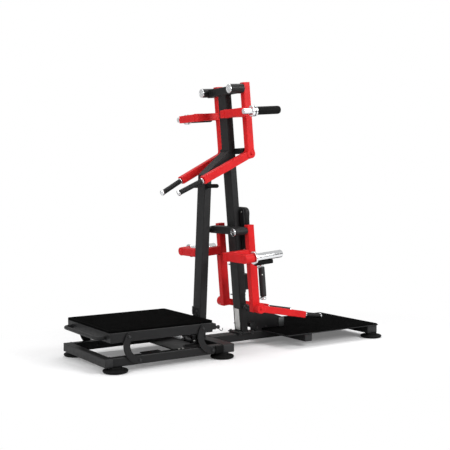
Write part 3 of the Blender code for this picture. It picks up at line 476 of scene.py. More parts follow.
def add_hex_bolt(bm, place, along, size, washer=1.15):
    seat = facing(place, along)
    thick = 0.16 * size
    radius = washer * size
    add_spun(bm, eased([(0, -0.4), (radius, -0.4), (radius, thick), (0, thick)], 0.4), seat, 32)
    add_hex(bm, seat, size, thick, 0.62 * size)


def add_bolts(name, places, size, paint, body="base", washer=1.15):
    """Bolts of one size as one piece. A place is (point, direction)."""
    bm = bmesh.new()
    for place, along in places:
        add_hex_bolt(bm, place, along, size, washer)
    finish_piece(bm, name, paint, body)


places = [((x, y, 0.0884), (0, 0, 1)) for x in (-0.564, -0.537) for y in (-0.277, 0.277)]
add_bolts("cross_plate_bolts", places, 7.5, zinc)

# A rubber bumper is bonded to the outside of each long rail, where the front link comes down
# beside it, and a small steel tab stands on the rail's inner edge under the platform.
rubber, tree, shader = finish_of("moulded_rubber", (0.0045, 0.0045, 0.0045), 0.7, level=0.1)
tone = ramp(noise(tree, 22, 5), 0.35, 0.7)
shade = mixed(tone, (0.0035, 0.0035, 0.0035), (0.006, 0.006, 0.006))
dusty = effect(tree, fallen_dust, Amount=0.04, Patches=16)
coloured(shader, dusty, shade, (0.2, 0.19, 0.18))
glossed(shader, noise(tree, 75, 3), 0.56, 0.72)
bumped(shader, effect(tree, orange_peel, Size=1400, Grit=0.5), 0.00012, 0.6)

bm = bmesh.new()
add_pair(bm, (-0.322, 0.3048, 0.037), (-0.262, 0.3185, 0.086), 0.004)
finish_piece(bm, "rail_bumpers", rubber)
bm = bmesh.new()
add_pair(bm, (-0.8, 0.204, 0.08), (-0.672, 0.25, 0.086), 0.0018)
add_pair(bm, (-0.79, 0.244, 0.056), (-0.682, 0.2555, 0.082), 0.0018)
finish_piece(bm, "rail_tabs", black_coat)

# Six levelling feet: a wide moulded rubber pad with two grooves, and a stout neck that bears on the
# tube above. They stand in pairs under both ends and under the centre cross tube.
SIDES = (("near", -1), ("far", 1))
FOOT_PROFILE = [
    (0, 0), (60, 0), (66, 1.5), (72, 4), (75, 9), (75, 15), (71.5, 19), (64, 19.5), (63.6, 18), (60, 18),
    (59.6, 20.5), (52, 22.5), (45.5, 23.5), (45.2, 22), (42.5, 22), (42, 25), (40.5, 34.3), (0, 34.3),
]


def turned(name, profile, seats, steps, paint, body="base", replaced=None, sharp=33):
    """One piece of a profile that is turned on each seat."""
    bm = bmesh.new()
    for seat in seats:
        add_spun(bm, profile, seat, steps)
    return finish_piece(bm, name, paint, body, replaced, sharp)


for place, x in (("rear", -1.001), ("centre", -0.254), ("front", 1.0355)):
    for side, sign in SIDES:
        foot = eased(FOOT_PROFILE, 1.2, 3)
        seats = [Matrix.Translation((x, sign * 0.287, 0))]
        node = f"foot_{place}_{side}"
        turned(f"foot_pad_{place}_{side}", foot, seats, 72, rubber, "base", node)

# The short upright and the beam above it are one bent pair of 90 mm tubes. Their corners are rolled,
# so a copy of each plain solid is merged and given a radius here. A small plate is bolted on the front
# with two black oxide screws.
for name in ("short_upright", "diagonal_beam"):
    mesh = nodes[name].data.copy()
    mesh.materials.clear()
    mesh.materials.append(black_coat)
    tube = settle(add_object(f"{name}_tube", mesh), "base", name)
    weld = tube.modifiers.new("weld", "WELD")
    weld.merge_threshold = 0.00002
    roll = tube.modifiers.new("rolled_corners", "BEVEL")
    roll.width = 0.004
    roll.segments = 3
    roll.limit_method = "ANGLE"
    roll.angle_limit = radians(62)
    roll.use_clamp_overlap = True
    roll.harden_normals = True

dark_zinc, tree, shader = finish_of("black_oxide", (0.02, 0.02, 0.021), 0.38, level=0.4)
glossed(shader, noise(tree, 90, 4), 0.3, 0.5)
# The black oxide's edges are painted lighter: partly wear, partly a painted highlight.
oxide_edge_wear_and_sheen = effect(tree, worn_and_sheened_edges, Width=0.001, Patches=120)
coloured(shader, oxide_edge_wear_and_sheen, (0.018, 0.018, 0.019), (0.12, 0.12, 0.12))
places = [((-0.2776, y, 0.263), (-1, 0, 0.0458)) for y in (-0.024, 0.024)]
add_bolts("upright_plate_bolts", places, 8.5, dark_zinc)

BEAM_Y = 0.045
corners = ((-0.262, -0.0455), (-0.2252, -BEAM_Y), (-0.2252, BEAM_Y), (-0.262, 0.0455))
add_beads("upright_foot_weld", [([(x, y, 0.0886) for x, y in corners], False)], 0.0032)
seams = []
for (x0, z0), (x1, z1) in (((-0.2292, 1.0934), (-0.1744, 1.14)), ((-0.0377, 1.324), (-0.0323, 1.2632))):
    seams.append(([(x0, -BEAM_Y, z0), (x1, -BEAM_Y, z1), (x1, BEAM_Y, z1), (x0, BEAM_Y, z0)], True))
add_beads("beam_welds", seams, 0.003)

# The arm stop is a steel bar through the short upright, covered both sides by a rubber sleeve with a
# rounded end, held by a collar against the tube.
sleeve = eased([(0, 0), (16, 0), (16, 6), (13.3, 8), (13.3, 112), (10.5, 118.5), (0, 119.3)], 2.2)
seats = [facing((-0.2073, sign * 0.0455, 1.089), (0, sign, 0)) for sign in (-1, 1)]
turned("arm_stop_sleeves", sleeve, seats, 40, rubber, "base", "arm_stop_rod")

# The tall column is a 90 by 50 mm tube that leans five degrees towards the platform. It stands on a
# foot plate held by four bolts, and everything hung on it is placed in its own leaning frame.
paint_nodes(black_coat, "tall_column", "column_brace", "upper_t_beam", "lower_t_beam")
COLUMN_X, PLATE_TOP = 0.0792, 0.097
lean = Matrix.Translation((COLUMN_X, 0, 0)) @ Matrix.Rotation(radians(-5), 4, "Y")


def leaning(u, y, w):
    """A point from the column's frame: u square to it, w up along it."""
    return lean @ Vector((u, y, w))


def leaning_loop(across, centre, half_a, half_b, bend=None):
    """A closed seam round a bar that runs along y, u or w. Bend moves the seam along the bar."""
    points = []
    for a, b in rectangle(half_a, half_b):
        u, y, w = {"y": (a, 0, b), "u": (0, a, b), "w": (a, b, 0)}[across]
        point = Vector(centre) + Vector((u, y, w))
        points.append(lean @ (bend(point) if bend else point))
    return points, True


middle = Vector((COLUMN_X - 0.0875 * PLATE_TOP + 0.0251, 0, PLATE_TOP))
seams = [([middle + Vector((a, b, 0)) for a, b in rectangle(0.0251, 0.045)], True)]
add_beads("column_foot_weld", seams, 0.0034)

corners = [(x, y) for x in (0.0455, 0.1465) for y in (-0.0575, 0.0575)]
places = [((x, y, z), (0, 0, way)) for x, y in corners for z, way in ((0.0963, 1), (0.0883, -1))]
add_bolts("column_foot_bolts", places, 10, dark_zinc)
places = [((0.1255, sign * 0.0448, 0.249), (0, sign, 0)) for sign in (-1, 1)]
add_bolts("column_side_bolts", places, 8, dark_zinc)
cap = eased([(0, -1), (7.5, -1), (7, 1.2), (3, 1.6), (2.6, 0.4), (0, 0.4)], 0.5)
holes = ((-0.0001, 0.008, 0.883, -1), (0.0501, 0.008, 0.883, 1), (-0.0001, 0, 1.18, -1))
seats = [lean @ facing((u, y, w), (way, 0, 0)) for u, y, w, way in holes]
turned("column_hole_plugs", cap, seats, 32, plastic, "base")

# A plain white enamelled plate is riveted to the column's face above the foot. It carries nothing.
# The enamel is smooth and has yellowed a little in places.
white_enamel, tree, shader = finish_of("white_enamel", (0.94, 0.94, 0.93), 0.35, level=0.4)
faded = noise(tree, 24, 4)
coloured(shader, faded, (0.95, 0.95, 0.94), (0.9, 0.9, 0.88))
glossed(shader, faded, 0.3, 0.42)
bm = bmesh.new()
add_block(bm, (-0.0013, -0.024, 0.108), (0.0004, 0.03, 0.253), 0.0005, lean)
finish_piece(bm, "column_plate", white_enamel)
rivet = eased([(0, -0.5), (2.7, -0.5), (2.2, 1), (0, 1.4)], 0.8)
seats = [lean @ facing((-0.0012, y, w), (-1, 0, 0)) for y in (-0.0185, 0.0245) for w in (0.1135, 0.2475)]
turned("column_plate_rivets", rivet, seats, 20, zinc, "base")

# The brace is a folded gusset box welded to the column's back, with a leg down to the spine and a
# flange on the deck. Four black screws go through its sides, and grey straps close its far end.
BRACE_Y = 0.0305
seams = []
for y in (-BRACE_Y, BRACE_Y):
    seams.append(([(0.1225, y, 0.155), (0.1112, y, 0.284)], False))
    seams.append(([(0.1935, y, 0.0886), (0.246, y, 0.0886)], False))
seams.append(([(0.1103, -0.028, 0.288), (0.1103, 0.028, 0.288)], False))
add_beads("brace_welds", seams, 0.003)
satin_steel, tree, shader = finish_of("satin_steel", (0.16, 0.17, 0.17), 0.45, metallic=1)
grain = noise(tree, 320, 4, (1, 1, 0.06))
glossed(shader, grain, 0.36, 0.54)
bumped(shader, grain, 0.00004, 0.5)
bm = bmesh.new()
add_pair(bm, (0.392, 0.0302, 0.103), (0.439, 0.0352, 0.164), 0.0012)
finish_piece(bm, "brace_end_straps", satin_steel)
places = [((x, sign * 0.0302, 0.112), (0, sign, 0)) for x in (0.208, 0.283) for sign in (-1, 1)]
add_bolts("brace_bolts", places, 6.5, dark_zinc)

# The knob draws a spring plunger that runs in a threaded body on the column's near side. The ball is
# moulded plastic, the plunger is polished chrome and the body is black oxide with a hex at its root.
chrome, tree, shader = finish_of("polished_chrome", (0.86, 0.87, 0.88), 0.09, metallic=1)
smudge = ramp(noise(tree, 26, 5), 0.42, 0.72)
tree.links.new(ramp(smudge, to_low=0.06, to_high=0.17), shader.inputs["Roughness"])
haze = ramp(noise(tree, 8, 4), 0.35, 0.75)
coloured(shader, haze, (0.87, 0.88, 0.89), (0.76, 0.77, 0.78))
bumped(shader, noise(tree, 1900, 2), 0.00002, 0.4)
ball, tree, shader = finish_of("moulded_ball", (0.01, 0.01, 0.011), 0.22, level=0.5)
glossed(shader, noise(tree, 40, 3), 0.18, 0.32)
seat = facing(leaning(0.025, -0.0453, 0.273), (0, -1, 0))
bm = bmesh.new()
add_spun(bm, eased([(0, 0), (9.2, 0), (9.2, 10.5), (8, 12), (0, 12)], 0.8), seat, 40)
add_hex(bm, seat, 12.5, 0, 6.5)
finish_piece(bm, "knob_bushing", dark_zinc, "base")
plunger = eased([(0, 2), (5.5, 2), (5.5, 21.5), (0, 22.5)], 0.6)
turned("knob_plunger", plunger, [seat], 32, chrome, "knob")
grip = eased([
    (0, 20.5), (9, 20.5), (12.5, 22.5), (17.6, 27), (19.4, 32), (19.4, 36.2), (17.2, 41.5), (12, 46),
    (5.5, 48), (0, 48.4),
], 3)
turned("knob_ball", grip, [seat], 56, ball, "knob", "column_knob")

# The low deck is a 6 mm steel plate on the spine and its cross tubes, with an 8 mm rubber mat glued on.
# The mat has a plain border and a field of fine ribs, moulded with it, so that shoes hold.
mat_rubber, tree, shader = finish_of("mat_rubber", (0.002, 0.002, 0.002), 0.85, level=0.02)
tone = ramp(noise(tree, 13, 6), 0.35, 0.7)
shade = mixed(tone, (0.0015, 0.0015, 0.0015), (0.0026, 0.0026, 0.0026))
dusty = effect(tree, fallen_dust, Amount=0.006, Patches=7)
coloured(shader, dusty, shade, (0.14, 0.135, 0.13))
glossed(shader, noise(tree, 55, 4), 0.78, 0.92)
bumped(shader, effect(tree, orange_peel, Size=1100, Grit=0.8), 0.00018, 0.7)
MAT_BORDER, RIB_PITCH, RIB_WIDE, RIB_TALL = 0.016, 0.0085, 0.0052, 0.0014


def add_mat(name, low, high, body, replaced, corner):
    """A rubber mat with rounded corners and ribs along x, between two corners of its box."""
    (x0, y0, z0), (x1, y1, z1) = low, high
    base_top = z1 - RIB_TALL
    bm = new_box((x0, y0, z0), (x1, y1, base_top))
    round_off(bm, [e for e in bm.edges if abs(e.verts[0].co.z - e.verts[1].co.z) > 0.001], corner, 8)
    round_off(bm, [e for e in bm.edges if e.is_manifold and e.calc_face_angle() > 0.9], 0.0016, 3)
    count = int((y1 - y0 - 2 * MAT_BORDER) / RIB_PITCH)
    first = (y0 + y1 - (count - 1) * RIB_PITCH - RIB_WIDE) / 2
    for y in [first + i * RIB_PITCH for i in range(count)]:
        rib = new_box((x0 + MAT_BORDER, y, base_top - RIB_TALL), (x1 - MAT_BORDER, y + RIB_WIDE, z1))
        round_off(rib, [e for e in rib.edges if min(v.co.z for v in e.verts) > base_top], 0.0009, 2)
        join(bm, rib)
    finish_piece(bm, name, mat_rubber, body, replaced, 40)


low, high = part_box("low_deck")
bm = bmesh.new()
add_block(bm, low, (high.x, high.y, low.z + 0.0062), 0.0011)
finish_piece(bm, "low_deck_plate", black_coat)
start = (low.x + 0.002, low.y + 0.002, low.z + 0.0063)
add_mat("low_deck_mat", start, (high.x - 0.002, high.y - 0.002, high.z), "base", "low_deck", 0.012)

# The lifting platform is a welded tray of 60 mm angle with a bent tube handle at its outer end. Its mat
# is thicker than the deck's and laps a little over the rim.
paint_nodes(black_coat, "platform_frame", "link_pair_rear", "link_pair_front", "spring_bracket")
low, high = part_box("platform_mat")
add_mat("platform_mat_ribbed", low, high, "platform", "platform_mat", 0.018)


def ring(x, y, z, radius):
    """A closed seam round a tube that runs along x."""
    turns = [i * pi / 12 for i in range(24)]
    return [(x, y + radius * cos(turn), z + radius * sin(turn)) for turn in turns]


seams = []
for sign in (-1, 1):
    seams.append((ring(-1.0425, sign * 0.242, 0.202, 0.0125), True))
    for x in (-1.041, -0.341):
        seams.append(([(x, sign * 0.307, 0.179), (x, sign * 0.307, 0.236)], False))
add_beads("platform_welds", seams, 0.0022, body="platform")

# The latch is a black oxide spring pin in a block under the platform's inner near corner. A wire hook
# hangs from the pin's head, with a washer on each side of its eye.
PIN_X, PIN_Y, PIN_Z = -0.3315, -0.28, 0.199
seat = facing((PIN_X, PIN_Y, PIN_Z), (1, 0, 0))
pin = eased([
    (0, 0), (4.5, 0), (6, 2), (6, 34.5), (9.2, 35.2), (9.2, 38.2), (6, 38.8), (6, 46.5), (9.5, 47.5),
    (11.5, 49.5), (11.5, 57.5), (9.8, 59.5), (0, 60),
], 0.8)
turned("latch_pin_black", pin, [seat], 40, dark_zinc, "latch", "latch_pin")
bm = bmesh.new()
add_hex(bm, seat, 12.5, 25.5, 7.5)
finish_piece(bm, "latch_nut", dark_zinc, "platform")
HOOK_PATH = [
    (0.013, 0.003), (0.0075, 0.0105), (-0.004, 0.01), (-0.0075, 0.001), (-0.0015, -0.0075),
    (0.0085, -0.0085), (0.017, -0.01), (0.025, -0.0175), (0.033, -0.024), (0.043, -0.023),
    (0.047, -0.015), (0.045, -0.007),
]
hook = round_curve("latch_hook", 0.0024, 3)
spline = hook.splines.new("NURBS")
spline.points.add(len(HOOK_PATH) - 1)
for i, (point, (along, up)) in enumerate(zip(spline.points, HOOK_PATH)):
    point.co = (PIN_X + 0.043 + along * 0.85, PIN_Y - 0.0006 * i, PIN_Z - 0.002 + up, 1)
spline.use_endpoint_u = True
spline.order_u = 4
spline.resolution_u = 8
hook.materials.append(dark_zinc)
settle(add_object("latch_hook", hook), "latch")


# Two pairs of curved links, cut from 10 mm plate, carry the platform. Each turns on a shaft whose
# ends show as dome nuts on washers, black like the links.
def add_dome_nut(bm, place, along, size):
    add_hex_bolt(bm, place, along, size, 1.25)
    wide = 0.74 * size
    turns = [radians(a) for a in range(0, 91, 10)]
    dome = [(wide * cos(turn), 0.78 * size + 0.62 * size * sin(turn)) for turn in turns]
    profile = [(0, 0.5 * size), (wide, 0.5 * size), *dome[:-1], (0, dome[-1][1])]
    add_spun(bm, profile, facing(place, along), 32)


for name, low_x in (("rear", -0.855), ("front", -0.345)):
    for level, x, z in (("low", low_x, 0.0615), ("high", low_x - 0.071, 0.206)):
        bm = bmesh.new()
        for sign in (-1, 1):
            add_dome_nut(bm, (x, sign * 0.3187, z), (0, sign, 0), 9.2)
        finish_piece(bm, f"link_nuts_{level}_{name}", dark_zinc, f"link_{name}")

# The gas spring lies under the platform: an alloy cylinder hung from two lugs, a chrome rod, and a
# black release head at the rod's foot, pinned to the bracket on the centre cross. A flat lever trips it.
alloy, tree, shader = finish_of("brushed_alloy", (0.9, 0.91, 0.92), 0.42, metallic=0.1)
grain = noise(tree, 260, 5, (0.08, 1, 1))
glossed(shader, grain, 0.26, 0.44)
coloured(shader, grain, (0.93, 0.94, 0.95), (0.84, 0.85, 0.86))
bumped(shader, grain, 0.00003, 0.5)
spring_foot, spring_head = Vector((-0.295, 0, 0.068)), Vector((-0.62, 0, 0.18))
along = (spring_head - spring_foot).normalized()
span = (spring_head - spring_foot).length * 1000
seat = facing(spring_head, -along)
cylinder = eased([
    (7.8, 247.8), (12, 248), (14, 246.2), (14, 233), (13.1, 231.8), (13.1, 228.2), (14, 227), (14, 33),
    (12.6, 27.5), (7, 26), (7, 9), (0, 9), (0, 37), (7.8, 37), (7.8, 247.8),
], 0.8)
node = "spring_cylinder"
turned("spring_cylinder_alloy", cylinder, [seat], 48, alloy, node, node)
eye = [(5.3, -12.2), (11.5, -12.2), (12.2, -11), (12.2, 11), (11.5, 12.2), (5.3, 12.2), (5.3, -12.2)]
turned("spring_head_eye", eye, [facing(spring_head, (0, 1, 0))], 40, dark_zinc, "spring_cylinder")
seat = facing(spring_foot, along)
rod = eased([(0, 60), (5, 60), (5, span - 91), (0, span - 90)], 0.5)
turned("spring_rod_chrome", rod, [seat], 32, chrome, "spring_rod", "spring_rod")
bm = bmesh.new()
fork = [(0, 9), (7.5, 9), (11.2, 16), (11.8, 27), (16.5, 30), (16.5, 70), (14, 73.5), (0, 73.5)]
add_spun(bm, eased(fork, 1.6), seat, 40)
add_spun(bm, eye, facing(spring_foot, (0, 1, 0)), 40)
finish_piece(bm, "spring_fork", dark_zinc, "spring_rod")
for name, end, body in (("foot", spring_foot, "base"), ("head", spring_head, "platform")):
    places = [((end.x, sign * 0.0186, end.z), (0, sign, 0)) for sign in (-1, 1)]
    add_bolts(f"spring_{name}_bolts", places, 7.5, zinc, body)
bm = bmesh.new()
add_block(bm, (-0.372, -0.033, 0.05), (-0.3, -0.021, 0.0555), 0.0012)
add_block(bm, (-0.384, -0.04, 0.0475), (-0.352, -0.02, 0.0505), 0.001)
finish_piece(bm, "spring_trip_lever", black_coat)

# Both T-beams are welded across the column. Each end is a thick bearing housing for one arm's axle,
# and the axle is kept in by a bright turned disc with a bolt through its middle.
UPPER_Y, UPPER_W = 0.165, 1.729
LOWER_Y, LOWER_W = 0.174, 0.797


def onto_barrel(sign, y, w, radius):
    """Bends a seam at the end of a bar round the barrel that the bar meets."""
    def bend(point):
        drop = sqrt(max(radius**2 - (point.z - w) ** 2, 0))
        return Vector((point.x, sign * (y - drop), point.z))

    return bend


seams = [leaning_loop("w", (0.0225, 0, 1.6982), 0.0228, 0.0452)]
for sign in (-1, 1):
    bend = onto_barrel(sign, UPPER_Y, UPPER_W, 0.03)
    seams.append(leaning_loop("y", (0.02, 0, 1.7245), 0.0252, 0.0265, bend))
    out = sign * (LOWER_Y + 0.0003)
    run = [leaning(-0.002, out, 0.7753)]
    for turn in [radians(a) for a in range(-90, 91, 10)]:
        run.append(leaning(-0.0503, sign * (LOWER_Y - 0.0217 * cos(turn)), LOWER_W + 0.0217 * sin(turn)))
    seams.append((run + [leaning(-0.002, out, 0.8187)], False))
    seams.append(([leaning(-0.0005, sign * 0.0455, w) for w in (0.776, 0.818)], False))
for w in (0.772, 0.822):
    seams.append(([leaning(-0.0005, y, w) for y in (-0.041, 0.041)], False))
add_beads("t_beam_welds", seams, 0.0032)

DISC_PROFILE = [
    (0, 0), (0.9, 0), (0.985, 1.2), (1, 3), (1, 6.2), (0.94, 7.8), (0.66, 8), (0.62, 6.6), (0.38, 6.4),
    (0.35, 7.6), (0, 7.8),
]
DISCS = (("upper", -0.0453, UPPER_Y, UPPER_W, 29), ("lower", -0.1003, LOWER_Y, LOWER_W, 27))
for level, u, y, w, wide in DISCS:
    disc = eased([(share * wide, rise) for share, rise in DISC_PROFILE], 0.6)
    for side, sign in SIDES:
        seats = [lean @ facing((u, sign * y, w), (-1, 0, 0))]
        node = f"{level}_axle_cap_{side}"
        turned(f"{level}_axle_disc_{side}", disc, seats, 64, chrome, f"{level}_{side}", node)

# The four swinging arms are 45 by 50 mm tube in red powder coat. Arm, side branch, hub and axle are
# one weldment, and the welds are dressed before it is coated, so that the beads are low and red.
red_coat = powder_coat(
    "red_powder_coat",
    colour=(0.7, 0.016, 0.018),
    deeper=(0.6, 0.012, 0.014),
    # The lighter red on the edges is partly wear and partly a painted highlight.
    edge_wear_and_sheen=(0.8, 0.06, 0.05),
    roughness=0.38,
    dust=0.02,
    level=0.13,
)
RED_TUBES = ("upper_arm", "upper_incline", "lower_arm", "lower_forward")
UPPER_HUB_Y, UPPER_HUB_U, UPPER_HUB_W, HUB_RADIUS = 0.1595, 0.0835, 1.3, 0.031
LOWER_HUB_U, LOWER_HUB_W = 0.0315, 0.277
UPPER_BRANCH_W, LOWER_BRANCH_W, LOWER_HORN_Y = 1.567, 0.646, 0.3915


def incline_ends(sign):
    """Both ends of the sloping tube that carries an upper handle."""
    start = leaning(UPPER_HUB_U, sign * UPPER_HUB_Y, UPPER_HUB_W)
    return start, start + Vector((-0.352, -sign * 0.0215, -0.178))


def onto_upper_hub(point):
    rise = sqrt(max(HUB_RADIUS**2 - (point.x - UPPER_HUB_U) ** 2, 0))
    return Vector((point.x, point.y, UPPER_HUB_W + rise))


for side, sign in SIDES:
    paint_nodes(red_coat, *[f"{tube}_{side}" for tube in RED_TUBES])
    y = sign * UPPER_HUB_Y
    seams = [
        leaning_loop("w", (UPPER_HUB_U, y, 1.33), 0.0252, 0.0228, onto_upper_hub),
        leaning_loop("u", (0.0583, y, UPPER_BRANCH_W), 0.0228, 0.0247),
        leaning_loop("y", (-0.0905, sign * 0.182, UPPER_BRANCH_W), 0.0228, 0.0252),
        leaning_loop("y", (-0.0905, sign * 0.3812, UPPER_BRANCH_W), 0.0215, 0.0095),
        ([leaning(*point) for point in ring(0.0575, sign * UPPER_Y, UPPER_W, 0.0158)], True),
    ]
    start, end = incline_ends(sign)
    along = (end - start).normalized()
    cross = (Vector((0, 1, 0)) - along * along.y).normalized()
    over = cross.cross(along)
    foot = []
    for a, b in rectangle(0.0252, 0.0228):
        bulge = HUB_RADIUS - sqrt(max(HUB_RADIUS**2 - a * a, 0))
        foot.append(start + along * (0.0325 - bulge) + over * a + cross * b)
    seams.append((foot, True))
    add_beads(f"upper_arm_welds_{side}", seams, 0.0026, red_coat, f"upper_{side}")

    y = sign * 0.1735
    bend = onto_barrel(sign, LOWER_HORN_Y, LOWER_BRANCH_W, 0.0285)
    seams = [
        leaning_loop("w", (0.0283, y, 0.6122), 0.0248, 0.0228),
        leaning_loop("u", (0.0028, y, LOWER_BRANCH_W), 0.0228, 0.0272),
        leaning_loop("y", (-0.1589, sign * 0.1965, LOWER_BRANCH_W), 0.0225, 0.0277),
        leaning_loop("y", (-0.1589, sign * 0.363, LOWER_BRANCH_W), 0.0219, 0.0277, bend),
    ]
    hub = leaning(LOWER_HUB_U, sign * 0.2012, LOWER_HUB_W)
    turns = [radians(a) for a in range(50, 226, 8)]
    seams.append(([hub + Vector((0.0332 * cos(turn), 0, 0.0332 * sin(turn))) for turn in turns], False))
    add_beads(f"lower_arm_welds_{side}", seams, 0.0026, red_coat, f"lower_{side}")

# A shouldered bolt closes each hub, coated with the arm in its own red. It is drawn up on a thin
# washer no wider than its head.
HUBS = (
    ("upper", UPPER_HUB_U, 0.188, UPPER_HUB_W, 9.5),
    ("lower", LOWER_HUB_U, 0.2522, LOWER_HUB_W, 8),
)
for side, sign in SIDES:
    for level, u, y, w, size in HUBS:
        places = [(leaning(u, sign * y, w), (0, sign, 0))]
        add_bolts(f"{level}_hub_bolt_{side}", places, size, red_coat, f"{level}_{side}", 1)

# Each handle is a steel bar with a turned washer at its root and a turned cap at its end, both
# chromed. A ringed rubber grip is pushed on between them.
grip_rubber, tree, shader = finish_of("grip_rubber", (0.0055, 0.0055, 0.0057), 0.52, level=0.28)
glossed(shader, noise(tree, 65, 4), 0.42, 0.6)
bumped(shader, noise(tree, 2200, 2), 0.00006, 0.5)
WASHER, GRIP_LONG = 8, 168.6
TIP = WASHER + GRIP_LONG
GRIP_END = GRIP_LONG - 0.4
grip_profile = [(11.3, 0.4), (15.8, 0.4), (16.5, 1.6), (16.5, 10)]
for z in [12 + i * 4.4 for i in range(33)]:
    grip_profile += [(15.9, z), (15.9, z + 1.2), (16.5, z + 2), (16.5, z + 3.6)]
grip_profile += [(16.5, GRIP_LONG - 1.6), (15.8, GRIP_END), (11.3, GRIP_END), (11.3, 0.4)]
bar_profile = eased([
    (0, 0), (17.2, 0), (19, 1.6), (19, WASHER - 1.6), (17.4, WASHER), (11, WASHER), (11, TIP), (17.4, TIP),
    (19, TIP + 1.6), (19, TIP + 7.8), (16.5, TIP + 11.2), (10, TIP + 12.8), (0, TIP + 13),
], 0.9)


def add_handle(level, side, start, along):
    body = f"{level}_{side}"
    seats = [facing(start + along * 0.001, along)]
    node = f"{level}_handle_{side}"
    turned(f"{level}_handle_bar_{side}", bar_profile, seats, 56, chrome, body, node)
    seats = [facing(start + along * 0.009, along)]
    node = f"{level}_grip_{side}"
    name = f"{level}_grip_sleeve_{side}"
    turned(name, grip_profile, seats, 40, grip_rubber, body, node, 50)


for side, sign in SIDES:
    start, end = incline_ends(sign)
    add_handle("upper", side, end, Vector((-0.163, -sign * 0.034, -0.083)).normalized())
    end = leaning(LOWER_HUB_U, sign * 0.2009, LOWER_HUB_W) + Vector((0.3847, sign * 0.0125, -0.0741))
    along = Vector((0.165, -sign * 0.04, -0.028)).normalized()
    add_handle("lower", side, end + along * 0.006, along)

# The loading horns are chromed tube. The upper ones carry a collar with a rubber ring and a thick rubber
# sleeve with a rounded end. The lower ones are bare, with a welded collar, and a flat rubber bar below.
UPPER_HORN = eased([
    (0, 0), (15.5, 0), (18, 2.2), (18, 58), (29, 58), (34.5, 61), (35, 66), (35, 72), (32.2, 73.8),
    (32.2, 79.2), (35, 81), (35, 88), (34, 92.5), (29, 95), (18, 95), (18, 260), (0, 260),
], 1.2)
HORN_SLEEVE = eased([
    (18.3, 95.3), (25, 95.3), (26, 96.5), (26, 265.5), (25.2, 272.5), (22.5, 278.5), (17, 281.2), (8, 282),
    (0, 282), (0, 267), (18.3, 267), (18.3, 95.3),
], 1.6)
COLLAR_RING = [(31, 73.4), (33.8, 74.2), (34.4, 76.5), (33.8, 78.8), (31, 79.6), (31, 73.4)]
LOWER_HORN = eased([
    (0, 0), (40.5, 0), (42, 1.6), (42, 10.4), (40.5, 12), (25.6, 12), (25, 12.8), (25, 217.5),
    (22.6, 220.8), (20.5, 221.8), (19.6, 219.5), (0, 219.5),
], 1)
KEEPER_SCREW = eased([(0, -0.6), (5.8, -0.6), (5, 1.8), (0, 2.6)], 0.9)
KEEPER_TOP, KEEPER_Y = LOWER_BRANCH_W - 0.0253, 0.013
for side, sign in SIDES:
    body = f"upper_{side}"
    seats = [lean @ facing((-0.113, sign * 0.3983, UPPER_BRANCH_W), (1, 0, 0))]
    node = f"upper_horn_{side}"
    turned(f"upper_horn_tube_{side}", UPPER_HORN, seats, 64, chrome, body, node)
    node = f"upper_sleeve_{side}"
    turned(f"upper_horn_sleeve_{side}", HORN_SLEEVE, seats, 64, rubber, body, node)
    turned(f"upper_collar_ring_{side}", COLLAR_RING, seats, 64, rubber, body)

    body = f"lower_{side}"
    y = sign * LOWER_HORN_Y
    seats = [lean @ facing((-0.1117, y, LOWER_BRANCH_W), (1, 0, 0))]
    node = f"lower_horn_{side}"
    turned(f"lower_horn_tube_{side}", LOWER_HORN, seats, 72, chrome, body, node)
    bm = bmesh.new()
    low = (-0.0994, y - KEEPER_Y, KEEPER_TOP - 0.026)
    add_block(bm, low, (0.0356, y + KEEPER_Y, KEEPER_TOP), 0.0036, lean)
    finish_piece(bm, f"horn_keeper_bar_{side}", rubber, body, f"horn_keeper_{side}")
    seats = [lean @ facing((u, y, KEEPER_TOP - 0.0258), (0, 0, -1)) for u in (-0.074, 0.01)]
    turned(f"horn_keeper_screws_{side}", KEEPER_SCREW, seats, 24, zinc, body)

# The leg rollers are dense foam tubes in a smooth skin, free to turn on chromed spindles. The skin
# is glued at the ends over a pressed washer, and swells very slightly between them.
paint_nodes(chrome, "roller_post_near", "roller_post_far")
foam_skin, tree, shader = finish_of("foam_skin", (0.0135, 0.0135, 0.0145), 0.46, level=0.45)
glossed(shader, noise(tree, 34, 4), 0.4, 0.56)
bumped(shader, noise(tree, 1300, 4), 0.00012, 0.6)
FOAM_HALF = 102.2
foam = [(8.3, -FOAM_HALF), (16.5, -FOAM_HALF), (19.6, 1.2 - FOAM_HALF), (21.2, 4 - FOAM_HALF)]
for z in [9 - FOAM_HALF + i * (2 * FOAM_HALF - 18) / 12 for i in range(13)]:
    foam.append((21.6 + 0.7 * (1 - (z / FOAM_HALF) ** 2), z))
foam += [(21.2, FOAM_HALF - 4), (19.6, FOAM_HALF - 1.2), (16.5, FOAM_HALF), (8.3, FOAM_HALF)]
foam.append((8.3, -FOAM_HALF))
end_knob = eased([(0, 0), (18.5, 0), (19.5, 1.2), (19.5, 8.5), (17, 11.5), (0, 12.5)], 1)
button = eased([(0, -1.2), (5, -1.2), (4.4, 1), (0, 1.8)], 0.9)
up = lean.to_3x3() @ Vector((0, 0, 1))
for side, sign in SIDES:
    body = f"roller_{side}"
    middle = leaning(0.1435, sign * 0.12, 0.43)
    roller = turned(
        f"leg_roller_foam_{side}", foam, [facing(middle, up)], 56, foam_skin, body,
        f"leg_roller_{side}", 50,
    )
    seats = [facing(middle + up * (way * 0.1112), up * way) for way in (1, -1)]
    turned(f"roller_end_knobs_{side}", end_knob, seats, 40, chrome, f"lower_{side}")
    out = Vector((-0.45, sign * 0.89, 0)).normalized()
    seats = [facing(middle + up * 0.05 + out * 0.0222, out)]
    turned(f"leg_roller_button_{side}", button, seats, 28, zinc, body)

